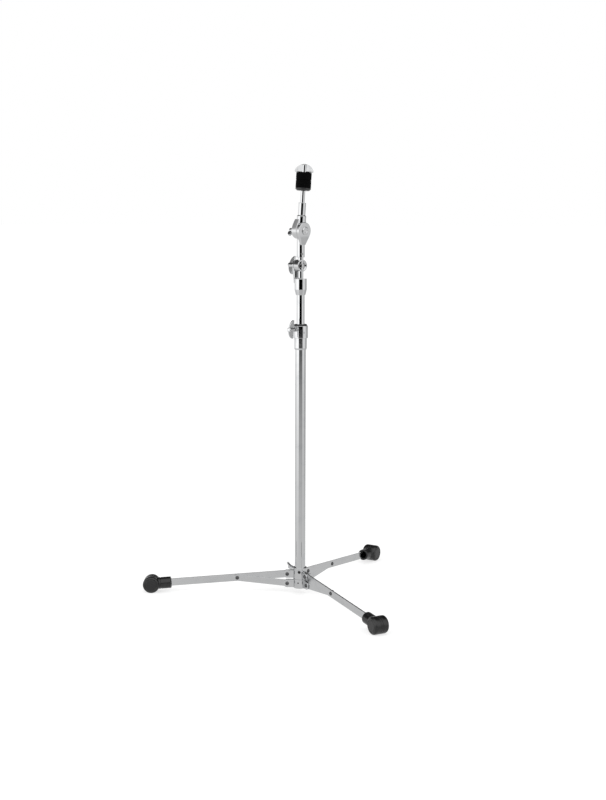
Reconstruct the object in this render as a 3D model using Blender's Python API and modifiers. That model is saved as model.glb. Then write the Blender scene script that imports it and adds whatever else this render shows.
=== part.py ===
"""Mini boom cymbal stand: tripod with flat folding legs, two tubes, boom clamp and cymbal tilter.

Metres, +Z up. The origin lies on the floor under the middle of the stand's bounding box.
The column stands on the axis X = COLUMN_X, Y = 0, and one leg points along -X.
"""

import math

import bmesh
import bpy
from mathutils import Matrix, Vector

MM = 0.001

# Fits
CLEAR = 0.3 * MM  # between neighbours that seat on each other

# Lower tube
TUBE_R = 12.7 * MM
TUBE_WALL = 1.2 * MM
TUBE_BOTTOM = 18.0 * MM
TUBE_TOP = 650.5 * MM
END_CAP_DEPTH = 14.0 * MM
END_CAP_FLANGE = 2.5 * MM

# Upper tube
MAST_R = 9.525 * MM
MAST_WALL = 1.2 * MM
MAST_HIDDEN = 300.0 * MM  # length inside the lower tube
MAST_SHOWN = 72.0 * MM  # length between the lower tube and the boom clamp
MAST_IN_CLAMP = 26.0 * MM  # length inside the boom clamp
GLIDE_LENGTH = 20.0 * MM
GLIDE_LIFT = 3.0 * MM  # the glide bush sits this far above the tube's end

# Tripod
LEG_AZIMUTHS = {"left": 180.0, "front": -60.0, "rear": 60.0}
FOOT_REACH = 360.5 * MM  # column axis to foot centre
PIN_REACH = 31.0 * MM  # column axis to the hub pins
RIVET_REACH = 152.0 * MM  # column axis to the rivet where leg and strut cross
LEG_PIN_Z = 47.5 * MM
STRUT_PIN_Z = 25.0 * MM
LEG_WIDTH = 17.6 * MM
LEG_THICK = 3.5 * MM
STRUT_WIDTH = 15.4 * MM
STRUT_THICK = 3.0 * MM
EAR_THICK = 2.5 * MM
EAR_R = 9.5 * MM
HUB_WALL = 3.7 * MM
UPPER_HUB_TOP = 64.0 * MM
HUB_SPLIT = 36.3 * MM  # the upper hub rests on the lower hub here
LOWER_HUB_BOTTOM = 14.0 * MM

# Rivets
PIN_R = 3.0 * MM
PIN_HEAD_R = 4.6 * MM
PIN_HEAD_RISE = 1.8 * MM
PIN_EDGE_RISE = 0.54 * MM  # height of the head at its rim
PIN_CROWN_R = 2.3 * MM
PIN_DIMPLE_R = 1.38 * MM
PIN_DIMPLE_RISE = 0.72 * MM  # height of the dimple's floor
SMALL_RIVET_R = 1.6 * MM
SMALL_RIVET_RISE = 0.8 * MM
SMALL_RIVET_CROWN_R = 1.1 * MM
HUB_RIVET_AZIMUTH = -105.0
HUB_RIVET_Z = 28.0 * MM
CLAMP_RIVET_AZIMUTH = -59.0
CLAMP_RIVET_DROP = 15.7 * MM  # below the top of the height clamp

# Rubber feet
FOOT_DRUM_R = 20.3 * MM
FOOT_DRUM_LENGTH = 37.0 * MM
FOOT_EDGE = 6.0 * MM
FOOT_NECK_R = 14.0 * MM
FOOT_NECK_LENGTH = 27.2 * MM  # beyond the drum
FOOT_SOCKET_DEPTH = 31.0 * MM
FOOT_TREAD = 0.8 * MM  # worn flat under the drum

# Wing screws and wing nuts
WING_SPAN = 44.8 * MM
WING_RISE = 18.5 * MM
WING_THICK = 4.6 * MM
WING_HOLE_R = 1.3 * MM
WING_HOLE_REACH = 14.6 * MM  # from the screw's axis
WING_HOLE_RISE = 3.4 * MM  # above the flat side
WING_HUB_R = 5.4 * MM
WING_FOOT = 3.0 * MM  # hub length below the wing's flat side
THREAD_R = 3.0 * MM
PAD_THICK = 2.0 * MM
WASHER_R = 8.5 * MM
WASHER_THICK = 1.5 * MM

# Base wing screw
BASE_SCREW_AZIMUTH = 120.0
BASE_SCREW_Z = 52.5 * MM
BASE_SCREW_TURN = -41.0  # lean of the wing from upright
BASE_BOSS_R = 6.5 * MM
BASE_BOSS_REACH = 31.0 * MM
BASE_WING_REACH = 36.0 * MM  # column axis to the flat side of the wing
HUB_PLUG_AZIMUTH = -96.0
HUB_PLUG_Z = 55.0 * MM
HUB_PLUG_R = 3.3 * MM
HUB_PLUG_SINK = 0.8 * MM

# Height clamp
CLAMP_LENGTH = 57.0 * MM
CLAMP_TAPER = 4.0 * MM
CLAMP_NECK_R = 13.9 * MM
CLAMP_SLEEVE_R = 15.0 * MM
CLAMP_COLLAR_LENGTH = 29.3 * MM
CLAMP_COLLAR_R = 17.7 * MM
CLAMP_BOSS_AZIMUTH = -122.0
CLAMP_BOSS_DROP = 6.7 * MM  # below the top of the clamp
CLAMP_BOSS_R = 6.2 * MM
CLAMP_BOSS_REACH = 28.0 * MM
CLAMP_WING_REACH = 32.0 * MM
CLAMP_WING_FOOT = 2.0 * MM
CLAMP_WING_TURN = -5.0
BUSH_RIM_R = 15.3 * MM
BUSH_RIM = 2.8 * MM
BUSH_TOP_R = 14.2 * MM
BUSH_EDGE = 1.7 * MM  # height of the rim's straight side
BUSH_SKIRT = 50.0 * MM

# Boom clamp on top of the upper tube
BOOM_LENGTH = 38.3 * MM  # of its cone and sleeve
BOOM_CONE = 13.0 * MM
BOOM_NECK_R = 11.4 * MM
BOOM_SLEEVE_R = 14.5 * MM
BOOM_PIVOT_RISE = 30.2 * MM  # above the sleeve
BOOM_AZIMUTH = 130.0  # its bolt points this way, to the wing nut
BOOM_DISC_R = 14.0 * MM
BOOM_BLOCK_FRONT = -7.0 * MM  # along the bolt, from the column axis
BOOM_BLOCK_BACK = 9.8 * MM
BOOM_CHEEK_BACK = 14.5 * MM
BOOM_CHEEK_WIDTH = 22.0 * MM
BOOM_CHEEK_FOOT_DROP = 10.8 * MM  # below the sleeve's top
BOOM_CHEEK_SLOPE_RISE = 6.2 * MM  # above it, the cheek slopes in from here down
BOOM_CHEEK_SLOPE = 8.0
BOOM_EYE_R = 9.2 * MM
BOOM_EYE_HEIGHT = 9.0 * MM
BOOM_BOLT_END = 31.0 * MM
BOOM_WING_FOOT = 9.0 * MM
BOOM_WING_TURN = 14.0

# Boom arm
ARM_R = 6.35 * MM
ARM_GAP = 1.2 * MM  # above the boom clamp's sleeve
ARM_SOCKET_DEPTH = 28.0 * MM

# Cymbal tilter
TILTER_SOCKET_RISE = 19.5 * MM  # above the boom's pivot
TILTER_SOCKET_R = 9.4 * MM
TILTER_PIVOT_RISE = 62.0 * MM  # above the socket's mouth
TILTER_AZIMUTH = -44.0  # the head of its bolt points this way
TILTER_DISC_R = 19.2 * MM
TILTER_FRONT = 14.5 * MM  # along the bolt, from the column axis
TILTER_SPLIT = 4.0 * MM
TILTER_BACK = -12.3 * MM
TILTER_NECK_WIDTH = 13.0 * MM
TILTER_NECK_DROP = 33.5 * MM  # below the tilter's pivot
TILTER_SLOPE_DROP = 13.5 * MM  # the front slopes in from here down to the socket
TILTER_SLOPE = 15.0
TILTER_LEAN = 4.5  # the upper half leans away from the column
TILTER_STEM_R = 8.8 * MM
TILTER_STEM_BASE_R = 11.0 * MM
TILTER_SHOULDER = 35.5 * MM  # heights above the pivot
TILTER_FLARE_TOP = 26.0 * MM
TILTER_BACK_SLOPE = 12.0
TILTER_BACK_SLOPE_RISE = 17.0 * MM
TILTER_ROUND_GAP = 1.0 * MM  # between the front disc and the stem above it
TILTER_STEM_LOW = 9.6 * MM
TILTER_STEM_TOP = 64.5 * MM
BOLT_HEAD_R = 9.3 * MM
BOLT_HEAD_RISE = 2.2 * MM
BOLT_EDGE_RISE = 1.1 * MM  # height of the head at its rim
BOLT_CROWN_R = 8.4 * MM
BOLT_DIMPLE_R = 4.2 * MM
BOLT_LIP_R = 5.1 * MM  # round the dimple
TILTER_WING_TURN = -60.0
THREAD_SPARE = 6.0 * MM  # thread of the tilter bolt inside its wing nut
GRUB_R = 2.4 * MM
GRUB_DEPTH = 2.4 * MM
GRUB_AZIMUTH = -70.0
GRUB_RISE = 8.0 * MM  # above the socket's mouth

# Cymbal seat, heights above the tilter's pivot
POST_R = 5.3 * MM
POST_IN_STEM = 14.0 * MM
SEAT_Z = 92.3 * MM
SEAT_R = 18.4 * MM
SEAT_RISE = 6.2 * MM
SEAT_EDGE = 4.0 * MM
FELT_R = 18.1 * MM
FELT_RISE = 17.8 * MM
FELT_EDGE = 1.6 * MM
SLEEVE_WALL = 1.5 * MM
NUT_BORE_DEPTH = 15.0 * MM
POST_IN_NUT = 13.0 * MM
TOP_WING_FOOT = 0.4 * MM
TOP_WING_TURN = 0.0

# Round counts
FINE_STEPS = 28
SMALL_STEPS = 12
HALF_STEPS = 8  # round a half circle
CORNER_STEPS = 4  # round a quarter circle

# Sizes worked out from the values above
TUBE_INNER_R = TUBE_R - TUBE_WALL
CLAMP_TOP = TUBE_TOP
CLAMP_BOTTOM = CLAMP_TOP - CLAMP_LENGTH
CLAMP_STEP_Z = CLAMP_TOP - CLAMP_COLLAR_LENGTH
CLAMP_BOSS_Z = CLAMP_TOP - CLAMP_BOSS_DROP
CLAMP_RIVET_Z = CLAMP_TOP - CLAMP_RIVET_DROP
BOOM_BOTTOM = TUBE_TOP + MAST_SHOWN
BOOM_TOP = BOOM_BOTTOM + BOOM_LENGTH
BOOM_PIVOT_Z = BOOM_TOP + BOOM_PIVOT_RISE
MAST_INNER_R = MAST_R - MAST_WALL
MAST_BOTTOM = TUBE_TOP - MAST_HIDDEN
MAST_TOP = BOOM_BOTTOM + MAST_IN_CLAMP
FOOT_CENTRE_Z = FOOT_DRUM_R - FOOT_TREAD
HUB_BORE_R = TUBE_R + CLEAR
HUB_R = HUB_BORE_R + HUB_WALL
PIN_HOLE_R = PIN_R + CLEAR
THREAD_HOLE_R = THREAD_R + CLEAR
STRUT_OFFSET = (LEG_THICK + STRUT_THICK) / 2 + CLEAR  # beside the leg, along the pin
BOOM_SLOT_HALF = BOOM_EYE_HEIGHT / 2 + CLEAR
ARM_BOTTOM = BOOM_TOP + ARM_GAP
TILTER_SOCKET_BOTTOM = BOOM_PIVOT_Z + TILTER_SOCKET_RISE
TILTER_PIVOT_Z = TILTER_SOCKET_BOTTOM + TILTER_PIVOT_RISE
ARM_TOP = TILTER_SOCKET_BOTTOM + ARM_SOCKET_DEPTH
TILTER_SOCKET_TOP = TILTER_PIVOT_Z - TILTER_DISC_R - 2 * CLEAR


def foot_extent_x(azimuth):
    """Furthest reach along X of the foot on the leg at this azimuth, from the column axis."""
    along = abs(math.sin(math.radians(azimuth)))
    across = abs(math.cos(math.radians(azimuth)))
    core = (FOOT_DRUM_LENGTH / 2 - FOOT_EDGE) * along + (FOOT_DRUM_R - FOOT_EDGE) * across
    return FOOT_REACH * across + core + FOOT_EDGE


COLUMN_X = (foot_extent_x(LEG_AZIMUTHS["left"]) - foot_extent_x(LEG_AZIMUTHS["front"])) / 2


# Scene and materials

for old in list(bpy.data.objects):
    bpy.data.objects.remove(old)

STAND = bpy.data.collections.new("mini_boom_cymbal_stand")
CUTTERS = bpy.data.collections.new("cutters")
bpy.context.scene.collection.children.link(STAND)
bpy.context.scene.collection.children.link(CUTTERS)

FINISHES = {
    "chrome": ((0.62, 0.63, 0.64), 0.08, 1.0),
    "steel": ((0.54, 0.54, 0.55), 0.28, 1.0),
    "rubber": ((0.02, 0.02, 0.021), 0.62, 0.0),
    "nylon": ((0.03, 0.03, 0.032), 0.42, 0.0),
    "felt": ((0.014, 0.014, 0.015), 0.95, 0.0),
}


def material(name, finish):
    """A material of the piece's own, with one of the stand's finishes."""
    colour, roughness, metallic = FINISHES[finish]
    made = bpy.data.materials.new(name)
    made.use_nodes = True
    shader = made.node_tree.nodes["Principled BSDF"]
    shader.inputs["Base Color"].default_value = (*colour, 1.0)
    shader.inputs["Roughness"].default_value = roughness
    shader.inputs["Metallic"].default_value = metallic
    return made


def empty(name, matrix, parent=None):
    """An empty that carries pieces or marks a joint's axis."""
    axis = bpy.data.objects.new(name, None)
    STAND.objects.link(axis)
    axis.parent = parent
    axis.matrix_local = matrix
    return axis


COLUMN = empty("column_axis", Matrix.Translation((COLUMN_X, 0, 0)))


# Places

def direction(azimuth):
    """Level unit vector at this azimuth."""
    angle = math.radians(azimuth)
    return Vector((math.cos(angle), math.sin(angle), 0))


def frame(origin, x_axis, z_axis):
    """Matrix whose X and Z point along these directions."""
    z_axis = z_axis.normalized()
    x_axis = (x_axis - z_axis * x_axis.dot(z_axis)).normalized()
    y_axis = z_axis.cross(x_axis)
    axes = Matrix((x_axis, y_axis, z_axis)).transposed()
    return Matrix.Translation(origin) @ axes.to_4x4()


def radial_frame(azimuth, reach, z, turn=0.0):
    """Matrix with Z pointing away from the column and X upright, turned about Z by turn degrees."""
    out = direction(azimuth)
    upright = frame(out * reach + Vector((0, 0, z)), Vector((0, 0, 1)), out)
    return upright @ Matrix.Rotation(math.radians(turn), 4, "Z")


def leg_plane_frame(azimuth, reach, z, angle, offset=0.0):
    """Matrix with X outward along a strip at this slope, and Z along the pins."""
    out = direction(azimuth)
    side = Vector((0, 0, 1)).cross(out)
    slope = math.radians(angle)
    along = out * math.cos(slope) + Vector((0, 0, 1)) * math.sin(slope)
    return frame(out * reach + side * offset + Vector((0, 0, z)), along, side)


# Modelling helpers

def place(piece, finish, matrix, parent):
    """Puts a finished piece in the stand's collection."""
    piece.data.materials.append(material(piece.name, finish))
    STAND.objects.link(piece)
    piece.parent = parent or COLUMN
    piece.matrix_local = matrix
    return piece


def guide(piece, matrix, parent):
    """Keeps a shape that only cuts or joins another."""
    CUTTERS.objects.link(piece)
    piece.parent = parent or COLUMN
    piece.matrix_local = matrix
    piece.hide_render = True
    piece.display_type = "WIRE"
    return piece


def smooth(mesh):
    """Smooth shading, with the true edges kept sharp."""
    mesh.shade_smooth()
    mesh.set_sharp_from_angle(angle=math.radians(32))


def turned(name, profile, steps=FINE_STEPS, closed=True):
    """A body turned about Z. The profile of radius and height runs down its outer side."""
    mesh = bpy.data.meshes.new(name)
    points = [(radius, 0.0, height) for radius, height in profile]
    edges = [(n, n + 1) for n in range(len(points) - 1)]
    if closed:
        edges.append((len(points) - 1, 0))
    mesh.from_pydata(points, edges, [])
    piece = bpy.data.objects.new(name, mesh)
    screw = piece.modifiers.new("turn", "SCREW")
    screw.steps = steps
    screw.render_steps = steps
    screw.use_merge_vertices = True
    screw.merge_threshold = 0.00001
    screw.use_smooth_shade = True
    return piece


def rod(name, radius, bottom, top, steps=FINE_STEPS):
    """A solid round bar along Z."""
    profile = [(0, top), (radius, top), (radius, bottom), (0, bottom)]
    return turned(name, profile, steps, closed=False)


def ring(name, inner, outer, bottom, top, steps=FINE_STEPS):
    """A plain tube along Z."""
    return turned(name, [(outer, top), (outer, bottom), (inner, bottom), (inner, top)], steps)


def arc(centre_x, centre_y, radius, start, end, count):
    """Points along an arc, angles in degrees."""
    points = []
    for n in range(count + 1):
        angle = math.radians(start + (end - start) * n / count)
        points.append((centre_x + radius * math.cos(angle), centre_y + radius * math.sin(angle)))
    return points


def circle(centre_x, centre_y, radius, count=SMALL_STEPS):
    """Closed loop of points round a circle."""
    return arc(centre_x, centre_y, radius, 0, 360 * (count - 1) / count, count - 1)


def plate(name, loops, thickness):
    """A flat plate in XY, centred in Z, from its outline and the outlines of its holes."""
    outline = bpy.data.curves.new(name, "CURVE")
    outline.dimensions = "2D"
    outline.fill_mode = "BOTH"
    outline.extrude = thickness / 2
    for loop in loops:
        spline = outline.splines.new("POLY")
        spline.points.add(len(loop) - 1)
        for point, (x, y) in zip(spline.points, loop):
            point.co = (x, y, 0, 1)
        spline.use_cyclic_u = True
    drawn = bpy.data.objects.new(name, outline)
    STAND.objects.link(drawn)
    bpy.context.view_layer.update()
    mesh = bpy.data.meshes.new_from_object(drawn.evaluated_get(bpy.context.evaluated_depsgraph_get()))
    bpy.data.objects.remove(drawn)
    welded = bmesh.new()
    welded.from_mesh(mesh)
    bmesh.ops.remove_doubles(welded, verts=welded.verts, dist=0.000001)
    bmesh.ops.recalc_face_normals(welded, faces=welded.faces)
    welded.to_mesh(mesh)
    welded.free()
    mesh.materials.clear()
    smooth(mesh)
    return bpy.data.objects.new(name, mesh)


def box(name, size):
    """A box centred on its own origin."""
    mesh = bpy.data.meshes.new(name)
    shape = bmesh.new()
    bmesh.ops.create_cube(shape, size=1.0, matrix=Matrix.Diagonal((*size, 1.0)))
    shape.to_mesh(mesh)
    shape.free()
    return bpy.data.objects.new(name, mesh)


def combine(piece, tool, operation):
    """Joins a shape to a piece, or cuts it out."""
    step = piece.modifiers.new(tool.name, "BOOLEAN")
    step.operation = operation
    step.solver = "EXACT"
    step.object = tool


def slope_cut(piece, matrix, y, face, angle, size, parent=None):
    """Slopes a plate's outer face, which lies at this height along Z, inward from y down."""
    slope = Matrix.Rotation(math.radians(angle), 4, "X")
    below = Matrix.Translation((0, -size, size))
    cut = box(f"{piece.name}_slope", (size * 3, size * 2, size * 2))
    guide(cut, matrix @ Matrix.Translation((0, y, face)) @ slope @ below, parent)
    combine(piece, cut, "DIFFERENCE")


# Lower tube and hubs

def build_lower_tube():
    tube = ring("base_tube", TUBE_INNER_R, TUBE_R, TUBE_BOTTOM, TUBE_TOP)
    wall_hole(tube, CLAMP_BOSS_AZIMUTH, CLAMP_BOSS_Z, THREAD_R)
    place(tube, "chrome", Matrix(), None)
    flange_top = TUBE_BOTTOM - CLEAR
    plug_r = TUBE_INNER_R - CLEAR
    profile = [
        (0, TUBE_BOTTOM + END_CAP_DEPTH),
        (plug_r, TUBE_BOTTOM + END_CAP_DEPTH),
        (plug_r, flange_top),
        (TUBE_R, flange_top),
        (TUBE_R, flange_top - END_CAP_FLANGE),
        (0, flange_top - END_CAP_FLANGE),
    ]
    place(turned("tube_end_cap", profile, closed=False), "nylon", Matrix(), None)


def hub_ears(hub, azimuth, z, centre, gap):
    """Joins the two ears that hold a strip of this thickness, with holes for their pin."""
    root = (HUB_BORE_R + HUB_R) / 2
    outline = [(root, -EAR_R)] + arc(PIN_REACH, 0, EAR_R, -90, 90, HALF_STEPS) + [(root, EAR_R)]
    for side in (-1, 1):
        offset = centre + side * (gap + EAR_THICK) / 2
        name = f"{hub.name}_ear_{azimuth:.0f}_{side}"
        ear = plate(name, [outline, circle(PIN_REACH, 0, PIN_HOLE_R)], EAR_THICK)
        guide(ear, leg_plane_frame(azimuth, 0, z, 0, offset), None)
        combine(hub, ear, "UNION")


def rivet_head(face, outward):
    """Profile of a rolled rivet head with a dimple in its middle, from the middle outward."""
    dimple = face + outward * PIN_DIMPLE_RISE
    crown = face + outward * PIN_HEAD_RISE
    edge = face + outward * PIN_EDGE_RISE
    profile = [(0, dimple), (PIN_DIMPLE_R, dimple), (PIN_CROWN_R, crown)]
    return profile + [(PIN_HEAD_R, edge), (PIN_HEAD_R, face)]


def rivet(name, low, high, low_head, high_head, matrix):
    """A rivet along Z from low to high, with a rolled head beyond either end or flush there."""
    profile = rivet_head(high, 1) if high_head else [(0, high)]
    profile += [(PIN_R, high), (PIN_R, low)]
    profile += reversed(rivet_head(low, -1)) if low_head else [(0, low)]
    place(turned(name, profile, SMALL_STEPS, closed=False), "steel", matrix, None)


def build_lower_hub():
    hub = ring("lower_hub", HUB_BORE_R, HUB_R, LOWER_HUB_BOTTOM, HUB_SPLIT - CLEAR)
    gap = STRUT_THICK + 2 * CLEAR
    reach = gap / 2 + EAR_THICK + CLEAR
    for name, azimuth in LEG_AZIMUTHS.items():
        hub_ears(hub, azimuth, STRUT_PIN_Z, STRUT_OFFSET, gap)
        pin_frame = leg_plane_frame(azimuth, PIN_REACH, STRUT_PIN_Z, 0, STRUT_OFFSET)
        rivet(f"strut_pin_{name}", -reach, reach, True, True, pin_frame)
    wall_hole(hub, HUB_RIVET_AZIMUTH, HUB_RIVET_Z, SMALL_RIVET_R)
    place(hub, "chrome", Matrix(), None)
    small_rivet("lower_hub_rivet", HUB_RIVET_AZIMUTH, HUB_RIVET_Z, HUB_R)


def wall_hole(piece, azimuth, z, radius):
    """Drills a round hole through one side of the wall, for what fits it with clearance."""
    drill = rod(f"{piece.name}_wall_hole", radius + CLEAR, 0, HUB_R * 2, SMALL_STEPS)
    guide(drill, radial_frame(azimuth, 0, z), None)
    combine(piece, drill, "DIFFERENCE")


def small_rivet(name, azimuth, z, face):
    """A small rivet, standing a little proud of the round face that it is set in."""
    top = face + SMALL_RIVET_RISE
    bottom = HUB_BORE_R
    profile = [(0, top), (SMALL_RIVET_CROWN_R, top), (SMALL_RIVET_R, top - SMALL_RIVET_RISE / 2)]
    profile += [(SMALL_RIVET_R, bottom), (0, bottom)]
    place(turned(name, profile, SMALL_STEPS, closed=False), "steel", radial_frame(azimuth, 0, z), None)


def build_upper_hub():
    hub = ring("upper_hub", HUB_BORE_R, HUB_R, HUB_SPLIT, UPPER_HUB_TOP)
    gap = LEG_THICK + 2 * CLEAR
    reach = gap / 2 + EAR_THICK + CLEAR
    for name, azimuth in LEG_AZIMUTHS.items():
        hub_ears(hub, azimuth, LEG_PIN_Z, 0, gap)
        pin_frame = leg_plane_frame(azimuth, PIN_REACH, LEG_PIN_Z, 0)
        rivet(f"leg_pin_{name}", -reach, reach, True, True, pin_frame)
    screw_boss(hub, BASE_SCREW_AZIMUTH, BASE_SCREW_Z, BASE_BOSS_R, BASE_BOSS_REACH)
    wall_hole(hub, HUB_PLUG_AZIMUTH, HUB_PLUG_Z, HUB_PLUG_R)
    place(hub, "chrome", Matrix(), None)
    plug = rod("hub_plug", HUB_PLUG_R, HUB_BORE_R, HUB_R - HUB_PLUG_SINK, SMALL_STEPS)
    place(plug, "nylon", radial_frame(HUB_PLUG_AZIMUTH, 0, HUB_PLUG_Z), None)
    wing_place = (BASE_WING_REACH, WING_FOOT, BASE_SCREW_TURN)
    clamp_screw("base", BASE_SCREW_AZIMUTH, BASE_SCREW_Z, TUBE_R, *wing_place)


def screw_boss(piece, azimuth, z, radius, reach):
    """Joins a threaded boss to a clamp and drills it through to the tube."""
    root = (HUB_BORE_R + HUB_R) / 2
    boss = rod(f"{piece.name}_boss", radius, root, reach, FINE_STEPS)
    drill = rod(f"{piece.name}_drill", THREAD_HOLE_R, 0, reach * 2, SMALL_STEPS)
    guide(boss, radial_frame(azimuth, 0, z), None)
    guide(drill, radial_frame(azimuth, 0, z), None)
    bore = rod(f"{piece.name}_bore", HUB_BORE_R, z - 2 * radius, z + 2 * radius)
    guide(bore, Matrix(), None)
    combine(piece, boss, "UNION")
    combine(piece, bore, "DIFFERENCE")
    combine(piece, drill, "DIFFERENCE")


# Wing screws and nuts

def wing(name):
    """Half-disc wing with its hub, standing on XY with its screw axis along Z."""
    radius = ((WING_SPAN / 2) ** 2 + WING_RISE**2) / (2 * WING_RISE)
    low_angle = math.degrees(math.asin((radius - WING_RISE) / radius))
    outline = arc(0, WING_RISE - radius, radius, low_angle, 180 - low_angle, SMALL_STEPS)
    loops = [outline]
    for side in (-1, 1):
        loops.append(circle(side * WING_HOLE_REACH, WING_HOLE_RISE, WING_HOLE_R, HALF_STEPS))
    leaf = plate(f"{name}_leaf", loops, WING_THICK)
    leaf.data.transform(Matrix.Rotation(math.radians(90), 4, "X"))
    return leaf


def wing_screw(name, foot, shank, matrix):
    """A wing with a hub that reaches below its flat side by foot, and a shank below that."""
    hub_top = WING_RISE - CLEAR
    profile = [(0, hub_top), (WING_HUB_R, hub_top), (WING_HUB_R, -foot)]
    profile += [(THREAD_R, -foot), (THREAD_R, -shank), (0, -shank)]
    leaf = guide(wing(name), matrix, None)
    screw = turned(name, profile, SMALL_STEPS, closed=False)
    combine(screw, leaf, "UNION")
    place(screw, "chrome", matrix, None)


def wing_nut(name, foot, bore, matrix, parent=None):
    """A wing with a hub that reaches below its flat side by foot, bored to this depth."""
    hub_top = WING_RISE - CLEAR
    roof = bore - foot
    profile = [(0, hub_top), (WING_HUB_R, hub_top), (WING_HUB_R, -foot)]
    profile += [(THREAD_HOLE_R, -foot), (THREAD_HOLE_R, roof), (0, roof)]
    leaf = guide(wing(name), matrix, parent)
    drill = guide(rod(f"{name}_drill", THREAD_HOLE_R, -foot, roof, SMALL_STEPS), matrix, parent)
    combine(leaf, drill, "DIFFERENCE")
    nut = turned(name, profile, SMALL_STEPS, closed=False)
    combine(nut, leaf, "UNION")
    place(nut, "chrome", matrix, parent)


def clamp_screw(name, azimuth, z, tube_r, wing_reach, foot, turn):
    """A wing screw and the pad that it presses on a tube of this radius."""
    pad_low = tube_r + CLEAR
    pad_top = pad_low + PAD_THICK
    pad = rod(f"{name}_clamp_pad", THREAD_R, pad_low, pad_top, SMALL_STEPS)
    place(pad, "nylon", radial_frame(azimuth, 0, z), None)
    shank = wing_reach - pad_top - CLEAR
    wing_screw(f"{name}_wing_screw", foot, shank, radial_frame(azimuth, wing_reach, z, turn))


# Legs, struts and feet

def strip(name, length, width, thickness, end, matrix):
    """A flat bar along X with a round drilled end at each hole, or a square far end."""
    half = width / 2
    outline = arc(0, 0, half, 90, 270, HALF_STEPS)
    holes = [circle(0, 0, PIN_HOLE_R), circle(end, 0, PIN_HOLE_R)]
    if length > end:
        outline += [(length, -half), (length, half)]
    else:
        outline += arc(end, 0, half, -90, 90, HALF_STEPS)
    place(plate(name, [outline, *holes], thickness), "chrome", matrix, None)


def build_leg(name, azimuth):
    leg_run = FOOT_REACH - PIN_REACH
    leg_drop = LEG_PIN_Z - FOOT_CENTRE_Z
    slope = math.degrees(math.atan2(leg_drop, leg_run))
    to_foot = math.hypot(leg_run, leg_drop)
    to_rivet = (RIVET_REACH - PIN_REACH) / math.cos(math.radians(slope))
    rivet_z = LEG_PIN_Z - to_rivet * math.sin(math.radians(slope))
    socket_end = FOOT_DRUM_R + FOOT_NECK_LENGTH - FOOT_SOCKET_DEPTH
    leg_frame = leg_plane_frame(azimuth, PIN_REACH, LEG_PIN_Z, -slope)
    leg_length = to_foot - socket_end - CLEAR
    strip(f"leg_{name}", leg_length, LEG_WIDTH, LEG_THICK, to_rivet, leg_frame)

    rivet_frame = leg_plane_frame(azimuth, RIVET_REACH, rivet_z, 0)
    leg_face = LEG_THICK / 2
    rivet(f"mid_rivet_{name}", -leg_face - CLEAR, leg_face, True, False, rivet_frame)
    strut_low = STRUT_OFFSET - STRUT_THICK / 2
    strut_high = STRUT_OFFSET + STRUT_THICK / 2 + CLEAR
    rivet(f"mid_rivet_cap_{name}", strut_low, strut_high, False, True, rivet_frame)

    rise = rivet_z - STRUT_PIN_Z
    run = RIVET_REACH - PIN_REACH
    climb = math.degrees(math.atan2(rise, run))
    strut_frame = leg_plane_frame(azimuth, PIN_REACH, STRUT_PIN_Z, climb, STRUT_OFFSET)
    reach = math.hypot(rise, run)
    strip(f"strut_{name}", reach, STRUT_WIDTH, STRUT_THICK, reach, strut_frame)
    build_foot(name, azimuth, slope)


def build_foot(name, azimuth, slope):
    """Rubber boot: a drum across the leg's end, with a neck that takes the strip."""
    half = FOOT_DRUM_LENGTH / 2
    core = FOOT_DRUM_R - FOOT_EDGE
    profile = [(0, half)] + arc(core, half - FOOT_EDGE, FOOT_EDGE, 90, 0, CORNER_STEPS)
    profile += arc(core, -half + FOOT_EDGE, FOOT_EDGE, 0, -90, CORNER_STEPS) + [(0, -half)]
    drum = turned(f"foot_{name}", profile, FINE_STEPS, closed=False)
    drum_frame = leg_plane_frame(azimuth, FOOT_REACH, FOOT_CENTRE_Z, 0)

    along = leg_plane_frame(azimuth, FOOT_REACH, FOOT_CENTRE_Z, -slope)
    inward = along @ Matrix.Rotation(math.radians(-90), 4, "Y")
    mouth = FOOT_DRUM_R + FOOT_NECK_LENGTH
    neck = rod(f"foot_{name}_neck", FOOT_NECK_R, 0, mouth, FINE_STEPS)
    socket_r = math.hypot(LEG_WIDTH, LEG_THICK) / 2 + CLEAR
    socket = rod(f"foot_{name}_socket", socket_r, mouth - FOOT_SOCKET_DEPTH, mouth * 2, FINE_STEPS)
    guide(neck, inward, None)
    guide(socket, inward, None)
    ground = box(f"foot_{name}_ground", (FOOT_DRUM_LENGTH * 2, FOOT_DRUM_LENGTH * 2, FOOT_DRUM_R))
    ground_place = direction(azimuth) * FOOT_REACH - Vector((0, 0, FOOT_DRUM_R / 2))
    guide(ground, Matrix.Translation(ground_place), None)
    combine(drum, neck, "UNION")
    combine(drum, socket, "DIFFERENCE")
    combine(drum, ground, "DIFFERENCE")
    place(drum, "rubber", drum_frame, None)


# Height clamp and upper tube

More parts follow.
